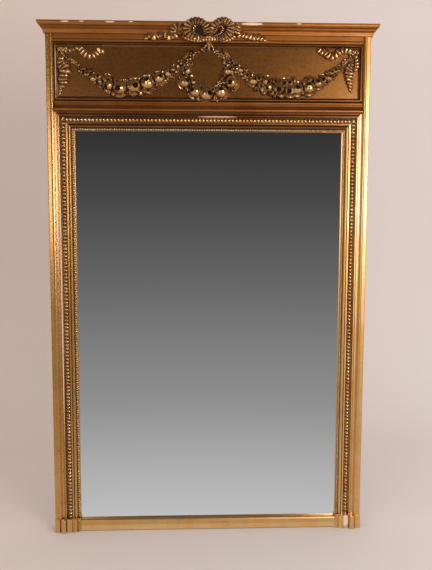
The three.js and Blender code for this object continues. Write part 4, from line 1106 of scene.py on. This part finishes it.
def garland(name, spine, fruits, tips, seed, inside=None):
    """inside: the middle and the half sizes of the clear space within a closed garland."""
    rng = random.Random(seed)
    bm = bmesh.new()
    closed = inside is not None
    points = resampled(spine, SPINE_SPACING, closed)
    runs = directions(points, closed)
    add_core(bm, points, runs, closed)
    for fruit in fruits:
        set_fruit(bm, rng, *fruit, inside)
    for (x, z, radius), run in list(zip(points, runs))[::4]:
        if radius >= BORDER_LEAF_FROM:
            set_border_leaves(bm, rng, x, z, radius, run, inside)
    for x, z, heading, length, wide in tips:
        set_leaf(bm, x, z, PANEL_FACE + 4, math.radians(heading), length, wide, 0.25)
    fill_gaps(bm, rng, points, fruits, inside)
    adopt(object_from(bm, name), name, carved_gilding,
          [name.replace("_fruit", "")], 50, [bole_in_painted_shade])


# %% [markdown]
# The two swags are not mirror images: the carver placed each fruit by eye. A fruit is written as
# its place, its radius, and the way its drilled end looks, all in millimetres from the middle and
# from the underside of the frame. The tips are the long smooth leaves at the garlands' ends.

# %% Swags and wreath
SWAG_LEFT = [
    (-488, 1665, 4.4), (-468, 1651, 4.6), (-448, 1638, 6), (-438, 1624, 10), (-423, 1614, 13.5),
    (-398, 1601, 18.6), (-372, 1589, 22), (-347, 1574, 27), (-304, 1562, 30), (-257, 1565, 31.5),
    (-211, 1573, 30), (-173, 1591, 25), (-137, 1611, 20), (-111, 1632, 15), (-96, 1652, 8.4),
    (-72, 1673, 5.5), (-50, 1690, 5),
]
SWAG_LEFT_FRUITS = [
    (-431, 1626, 7.5, 0, -0.2), (-414, 1608, 10, 0.1, 0.1), (-402, 1620, 8, 0.2, -0.1),
    (-393, 1592, 11.5, 0.6, 0.4), (-376, 1601, 12.5, 0, -0.2), (-366, 1567, 9, 0.2, -0.2),
    (-342, 1570, 16.5, -0.5, -0.4), (-344, 1589, 14.5, 0.2, -0.4), (-302, 1560, 21.5, -0.3, -0.1),
    (-313, 1585, 11, 0.1, -0.3), (-256, 1567, 21.5, 0.3, 0), (-268, 1591, 9.5, -0.5, -0.2),
    (-209, 1577, 21, -0.2, 0.6), (-236, 1594, 10, 0.5, -0.3), (-170, 1595, 17.5, 0.3, 0.3),
    (-195, 1603, 8, 0, 0), (-140, 1612, 12.5, 0.6, 0.2), (-109, 1635, 8, -0.6, -0.4),
    (-124, 1626, 8, 0, 0.2),
]
SWAG_LEFT_TIPS = [(-440, 1632, 142, 56, 0.5), (-104, 1645, 46, 70, 0.4), (-176, 1570, 35, 30, 0.8)]
SWAG_RIGHT = [
    (24, 1692, 5), (43, 1672, 7), (62, 1656, 12), (85, 1634, 17), (109, 1621, 18.6),
    (148, 1594, 23.7), (176, 1577, 28), (204, 1571, 30), (237, 1563, 31), (268, 1566, 31),
    (295, 1566, 31.5), (331, 1572, 29), (380, 1591, 22), (411, 1608, 18), (435, 1630, 13),
    (456, 1653, 7.5), (472, 1664, 5.5), (488, 1676, 5),
]
SWAG_RIGHT_FRUITS = [
    (92, 1630, 8, -0.4, -0.2), (106, 1626, 10, 0.5, 0.3), (127, 1608, 11.5, 0.1, -0.2),
    (148, 1589, 14.5, 0.5, 0.4), (167, 1598, 12.5, 0.1, -0.2), (195, 1589, 14.5, 0.4, -0.5),
    (176, 1574, 11, 0, -0.3), (201, 1569, 14.5, -0.4, -0.4), (235, 1566, 19, 0, -0.4),
    (226, 1589, 11.5, 0, -0.3), (252, 1581, 14.5, 0.1, -0.1), (273, 1583, 13.5, -0.1, 0),
    (276, 1559, 18.5, -0.3, -0.3), (299, 1563, 19, 0, 0.2), (286, 1592, 12, -0.3, -0.2),
    (319, 1581, 11.5, -0.3, -0.3), (341, 1566, 18.5, -0.2, 0.7), (372, 1583, 16, -0.2, 0.3),
    (386, 1595, 14.5, 0, -0.1), (409, 1602, 11.5, 0.3, 0.3), (432, 1627, 9.5, -0.1, 0),
    (444, 1629, 9, 0, 0), (418, 1621, 9.5, 0, 0), (403, 1618, 8, 0, 0),
]
SWAG_RIGHT_TIPS = [(72, 1660, 130, 46, 0.5), (448, 1640, 44, 52, 0.45), (210, 1545, 10, 34, 0.8)]
WREATH_MIDDLE = (-7.5, 1620, 46, 52)
WREATH_FRUITS = [
    (-75, 1621, 12, -0.7, -0.1), (-65, 1646, 8, 0.2, -0.2), (-85, 1582, 17.5, 0.7, 0.3),
    (-97, 1598, 8, 0, 0), (-49, 1552, 19, -0.7, 0.2), (-11, 1543, 21, 0.6, 0.1),
    (40, 1550, 19.5, -0.1, 0.5), (74, 1583, 19, -0.3, -0.1), (62, 1621, 13.5, 0.5, 0.4),
    (54, 1651, 9.5, 0.3, -0.3), (11, 1557, 11, 0, 0.1), (-26, 1563, 9.5, 0, 0), (82, 1558, 9, 0, 0),
    (-23, 1693, 8, 0.4, -0.2), (26, 1689, 7, 0, 0),
]
WREATH_TIPS = [(-63, 1660, 52, 36, 0.5), (50, 1662, 125, 34, 0.55)]


def wreath_spine():
    """A ring of 24 places, slender where it hangs from the bow and fullest below."""
    spine = []
    for i in range(24):
        turn = 2 * math.pi * i / 24
        radius = 6.5 + 23.5 * ((1 - math.cos(turn)) / 2) ** 1.15
        spine.append((-7.5 + 69 * math.sin(turn), 1618 + 74 * math.cos(turn), radius))
    return spine


garland("swag_left_fruit", SWAG_LEFT, SWAG_LEFT_FRUITS, SWAG_LEFT_TIPS, 11)
garland("swag_right_fruit", SWAG_RIGHT, SWAG_RIGHT_FRUITS, SWAG_RIGHT_TIPS, 23)
garland("wreath_fruit", wreath_spine(), WREATH_FRUITS, WREATH_TIPS, 5, WREATH_MIDDLE)

# %% [markdown]
# The bows are ribbon, carved as if gathered into pleats. A curve with a flat bevel would give a
# smooth band without them. So one pleat is made: a short round bar lying across the ribbon, with
# its ends rounded and its underside cut flat. An Array modifier repeats it, and a Curve modifier
# leads the row along a drawn line, whose radius makes the ribbon wide or narrow. The ribbon is made
# lying down and then set up against the frame.

# %% One pleat


def make_pleat():
    """One pleat across a ribbon of half width 1: along x, across y, out z."""
    piece = begin(bpy.ops.mesh.primitive_cylinder_add, vertices=12, radius=1, depth=1.5,
                  rotation=(math.pi / 2, 0, 0))
    open_for_editing(piece)
    pick_faces(piece, lambda middle, normal: abs(normal.y) > 0.9)
    bpy.ops.mesh.inset(thickness=0.34, depth=0.20, use_individual=True)
    bpy.ops.mesh.inset(thickness=0.30, depth=0.06, use_individual=True)
    cut_off((0, 0, -0.5), (0, 0, -1))
    return as_pattern("pleat")


PLEAT = make_pleat()

# %% [markdown]
# A ribbon is written as its path: place, half width, and how far out from the wall. Pleats stand
# every 5.5 to 13 mm. A tilt turns the band on its path, so that one of its borders stands forward.

# %% How a ribbon is laid
HALF_WIDTH = 10  # of the row of pleats before the path makes it wider or narrower
PLEAT_OVERLAP = 0.54  # half the length of a pleat, in steps: a little over a half closes the row


def path_curve(path, tilt):
    line = bpy.data.curves.new("ribbon path", "CURVE")
    line.dimensions = "3D"
    line.twist_mode = "Z_UP"
    line.use_radius = True
    line.resolution_u = 24
    spline = line.splines.new("BEZIER")
    spline.bezier_points.add(len(path) - 1)
    for point, (x, z, half, out) in zip(spline.bezier_points, path):
        point.co = (x * MM, z * MM, out * MM)
        point.handle_left_type = point.handle_right_type = "AUTO"
        point.radius = half / HALF_WIDTH
        point.tilt = tilt
    return add_object("ribbon path", line), spline.calc_length()


def ribbon(path, pitch, depth, tilt=0.0, slant=0.0):
    """Returns a new piece: a row of pleats led along the path, standing upright."""
    line, length = path_curve(path, tilt)
    count = max(round(length / MM / pitch), 2)
    step = length / count
    piece = add_object("ribbon", PLEAT.copy())
    open_for_editing(piece)
    bpy.ops.mesh.select_all(action="SELECT")
    scale(step * PLEAT_OVERLAP, HALF_WIDTH * MM, depth * MM)
    if slant:
        bpy.ops.transform.rotate(value=-slant, orient_axis="Z", center_override=(0, 0, 0))
    move(step / 2, 0, 0)
    close_editing()
    repeat(piece, count, (step, 0, 0))
    lead = piece.modifiers.new("path", "CURVE")
    lead.object = line
    lead.deform_axis = "POS_X"
    apply_modifiers(piece)
    bpy.data.objects.remove(line)
    piece.matrix_world = Matrix.Translation((0, 0, BASE)) @ Matrix.Rotation(math.pi / 2, 4, "X")
    return piece


# %% [markdown]
# A bow also has a knot, which is a ball with grooves pressed in round it where the ribbon is
# wrapped, and a shaded inside to each loop: the same ball, flattened, with no gold on it. All parts
# of a bow are joined into one piece, since they were cut from one block.

# %% Knots, hollows and joining


def knot(x, z, out, wide, high, deep, turn=0.0):
    piece = begin(bpy.ops.mesh.primitive_uv_sphere_add, segments=20, ring_count=14, radius=1,
                  rotation=(0, math.pi / 2, 0))
    open_for_editing(piece)
    for groove in (-0.62, -0.22, 0.22, 0.62):
        pick_points(piece, lambda p: abs(p.x - groove) < 0.06)
        scale(1, 0.84, 0.84)
    pick_points(piece, lambda p: True)
    scale(wide * MM, deep * MM, high * MM)
    close_editing()
    piece.matrix_world = spot(x, z, out) @ Matrix.Rotation(turn, 4, "Y")
    return piece


# A flattened dark ball inside a loop: painted shade.
def hollow(x, z, out, wide, high):
    piece = knot(x, z, out, wide, high, 3)
    open_for_editing(piece)
    paint_depths(piece, lambda middle, normal: True)
    close_editing()
    return piece


def joined(pieces, name, replaced):
    bpy.ops.object.select_all(action="DESELECT")
    for piece in pieces:
        piece.select_set(True)
        for finish in (carved_gilding, bole_in_painted_shade):
            piece.data.materials.append(finish)
    bpy.context.view_layer.objects.active = pieces[0]
    bpy.ops.object.join()
    adopt(pieces[0], name, carved_gilding, [replaced], 50)


# %% [markdown]
# The corner bows each have a knot of two small loops, a ribbon that runs level under the top
# moulding and one that hangs. Left and right were cut by hand and differ. Each ribbon is its path,
# the pitch and depth of its pleats, its tilt and the slant of its pleats.

# %% Corner bows
CORNER_LEFT = [
    ([(-474, 1684, 6, 66), (-456, 1685, 6, 66), (-438, 1693, 9, 66), (-429, 1682, 12.5, 67),
      (-416, 1672, 14, 68), (-402, 1668, 14, 68), (-387, 1672, 14, 67), (-374, 1682, 11, 66),
      (-362, 1682, 9, 65), (-354, 1677, 4, 64)], 12.5, 7.0, 0.0, 0.15),
    ([(-496, 1664, 9, 66), (-500, 1651, 11, 66), (-497, 1637, 16, 67), (-487, 1619, 22.5, 68),
      (-490, 1603, 16, 67), (-492, 1589, 17.5, 67), (-493, 1574, 14, 66), (-500, 1560, 7.5, 65)],
     12.0, 7.0, 0.0, 0.25),
    ([(-500, 1566, 5, 64), (-504, 1550, 4.5, 64), (-506, 1536, 3, 64)], 9, 6, 0.0, 0.3),
]
CORNER_RIGHT = [
    ([(484, 1689, 7.5, 66), (465, 1691, 10, 67), (446, 1689, 12.5, 67), (429, 1675, 14, 68),
      (412, 1673, 12.5, 67), (396, 1684, 14, 67), (381, 1689, 11, 66), (367, 1695, 4, 64)],
     13.0, 7.5, 0.0, -0.2),
    ([(499, 1677, 7.5, 66), (504, 1659, 7.5, 66), (504, 1641, 9, 66), (498, 1624, 6, 65)],
     10.0, 6.0, 0.0, 0.2),
    ([(488, 1655, 6, 67), (482, 1640, 12.5, 68), (476, 1626, 15, 69), (478, 1605, 15, 68),
      (481, 1586, 11, 67), (484, 1570, 7.5, 66), (485, 1555, 4, 64)], 12.0, 7.0, 0.0, -0.5),
]


def small_loop(x, z, radius=5.5, half=4.5, out=68):
    path = []
    for i in range(9):
        turn = math.radians(-100 + 340 * i / 8)
        path.append((x + radius * math.cos(turn), z + radius * math.sin(turn), half, out))
    return ribbon(path, 5.5, 6)


def corner_bow(side, ribbons):
    sign = -1 if side == "left" else 1
    pieces = [ribbon(*settings) for settings in ribbons]
    pieces += [small_loop(sign * 501, 1687), small_loop(sign * 486, 1686)]
    pieces.append(knot(sign * 494, 1674, 69, 6, 7, 7, 0.4 * sign))
    joined(pieces, f"corner_ribbon_{side}", f"corner_bow_{side}")


corner_bow("left", CORNER_LEFT)
corner_bow("right", CORNER_RIGHT)

# %% [markdown]
# The great bow stands on the cornice: two gathered loops round a dark hollow, with the back of the
# ribbon showing inside, a small fan on the left, the wrapped knot that holds the wreath and swags,
# and a streamer along the top band on each side.

# %% Crest bow and streamers
CREST = [
    # Left loop: its front band, and its inner side further back.
    ([(-14, 1722, 5, 97.2), (-34, 1721, 8, 100.2), (-56, 1726, 12, 101.2), (-74, 1741, 15, 101.2),
      (-74, 1759, 14.5, 101.2), (-58, 1774, 13.5, 100.2), (-38, 1776, 13.5, 99.2),
      (-20, 1768, 12, 98.2), (-9, 1753, 10, 97.2), (-6, 1738, 7.5, 96.2), (-8, 1726, 4, 95.2)],
     10.5, 8.5, 0.0, 0.0),
    ([(-20, 1727, 5, 94), (-40, 1733, 7, 92), (-52, 1747, 9, 92), (-46, 1762, 9, 92),
      (-30, 1764, 8, 92), (-20, 1750, 7, 93), (-15, 1735, 4, 95)], 7.0, 5.0, 0.6, 0.0),
    # Right loop.
    ([(8, 1722, 5, 97.2), (27, 1719, 8, 100.2), (50, 1726, 12, 101.2), (66, 1741, 14.5, 101.2),
      (70, 1760, 14, 101.2), (57, 1775, 13.5, 100.2), (38, 1778, 13, 99.2), (22, 1771, 12, 98.2),
      (9, 1757, 10, 97.2), (5, 1740, 7.5, 96.2), (5, 1728, 4, 95.2)], 10.5, 8.5, 0.0, 0.0),
    ([(14, 1728, 5, 94), (32, 1733, 7, 92), (46, 1748, 9, 92), (43, 1763, 9, 92),
      (30, 1766, 8, 92), (19, 1752, 7, 93), (12, 1738, 4, 95)], 7.0, 5.0, 0.6, 0.0),
    # The fan on the left and the folded tail on the right.
    ([(-121, 1737, 9, 94), (-121, 1748, 13, 95), (-113, 1757, 14, 96), (-102, 1757, 14, 96),
      (-94, 1748, 11, 95)], 9.5, 8.0, 0.0, 0.0),
    ([(95, 1774, 5, 96), (94, 1762, 10, 97), (93, 1749, 13, 97), (92, 1736, 11, 96)],
     10.5, 7.5, 0.0, -0.3),
    # The ruffled band under the loops.
    ([(-92, 1733, 5, 93), (-78, 1724, 8, 95), (-60, 1719, 8, 96), (-39, 1716, 8, 97),
      (-12, 1719, 9, 99), (8, 1720, 9, 99), (30, 1719, 8, 97), (52, 1717, 8, 96),
      (72, 1723, 8, 95), (86, 1732, 5, 93)], 10.0, 7.0, 0.0, 0.2),
]
LOOP_HOLLOWS = [(-36, 1748, 93, 30, 23), (35, 1749, 93, 30, 24)]
STREAMERS = {
    "left": [(-106, 1731, 7.5, 84), (-121, 1731, 10, 83), (-136, 1725, 11, 82),
             (-151, 1731, 11, 82), (-169, 1735, 11, 82), (-184, 1726, 12.5, 82),
             (-203, 1731, 10, 81), (-217, 1719, 5, 79)],
    "right": [(92, 1733, 7.5, 84), (108, 1736, 10, 83), (126, 1734, 11, 82), (144, 1730, 12.5, 82),
              (163, 1730, 12.5, 82), (178, 1725, 9, 81), (194, 1718, 4, 79)],
}
STREAMER_SLANT = {"left": 0.35, "right": -0.35}


def crest_bow():
    pieces = [ribbon(*settings) for settings in CREST]
    pieces += [hollow(*place) for place in LOOP_HOLLOWS]
    pieces.append(knot(-3, 1725, 102, 14, 9, 9))
    pieces.append(knot(-3, 1707, 88, 9, 10, 10, math.pi / 2))
    for x, z, turn in ((-14, 1699, -0.9), (-3, 1696, -math.pi / 2), (8, 1699, -2.2)):
        pieces.append(knot(x, z, 82, 11, 4.5, 7, turn))
    joined(pieces, "crest_ribbon", "crest_bow")
    for side, path in STREAMERS.items():
        joined([ribbon(path, 13.0, 7.0, slant=STREAMER_SLANT[side])],
               f"crest_streamer_{side}", f"crest_tail_{side}")


crest_bow()

# %% [markdown]
# Cut nails hold each backboard to the rails above and below. A head is a thick disc whose upper
# face is drawn in and raised by the hammered dome, and each one sits a little out of line.

# %% Nails in the backboards


def make_nail_head():
    piece = begin(bpy.ops.mesh.primitive_cylinder_add, vertices=10, radius=3.2, depth=1.2)
    open_for_editing(piece)
    pick_faces(piece, lambda middle, normal: normal.z > 0.9)
    bpy.ops.mesh.inset(thickness=1.0, depth=0.5)
    bpy.ops.mesh.inset(thickness=1.0, depth=0.15)
    return as_pattern("nail head")


def backboard_nails():
    rng = random.Random(3)
    head = make_nail_head()
    lay = Matrix.Rotation(-math.pi / 2, 4, "X") @ Matrix.Scale(MM, 4)
    bm = bmesh.new()
    for i in range(1, 5):
        low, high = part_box(f"backboard_{i}")
        for z in (low.z + 11 * MM, high.z - 10 * MM):
            for x in (low.x + 42 * MM, high.x - 42 * MM):
                place = Vector((x + rng.uniform(-5, 5) * MM, high.y + 0.4 * MM,
                                z + rng.uniform(-2, 2) * MM))
                stamp(bm, head, Matrix.Translation(place) @ lay)
    adopt(object_from(bm, "backboard_nails"), "backboard_nails", dark_iron)


backboard_nails()
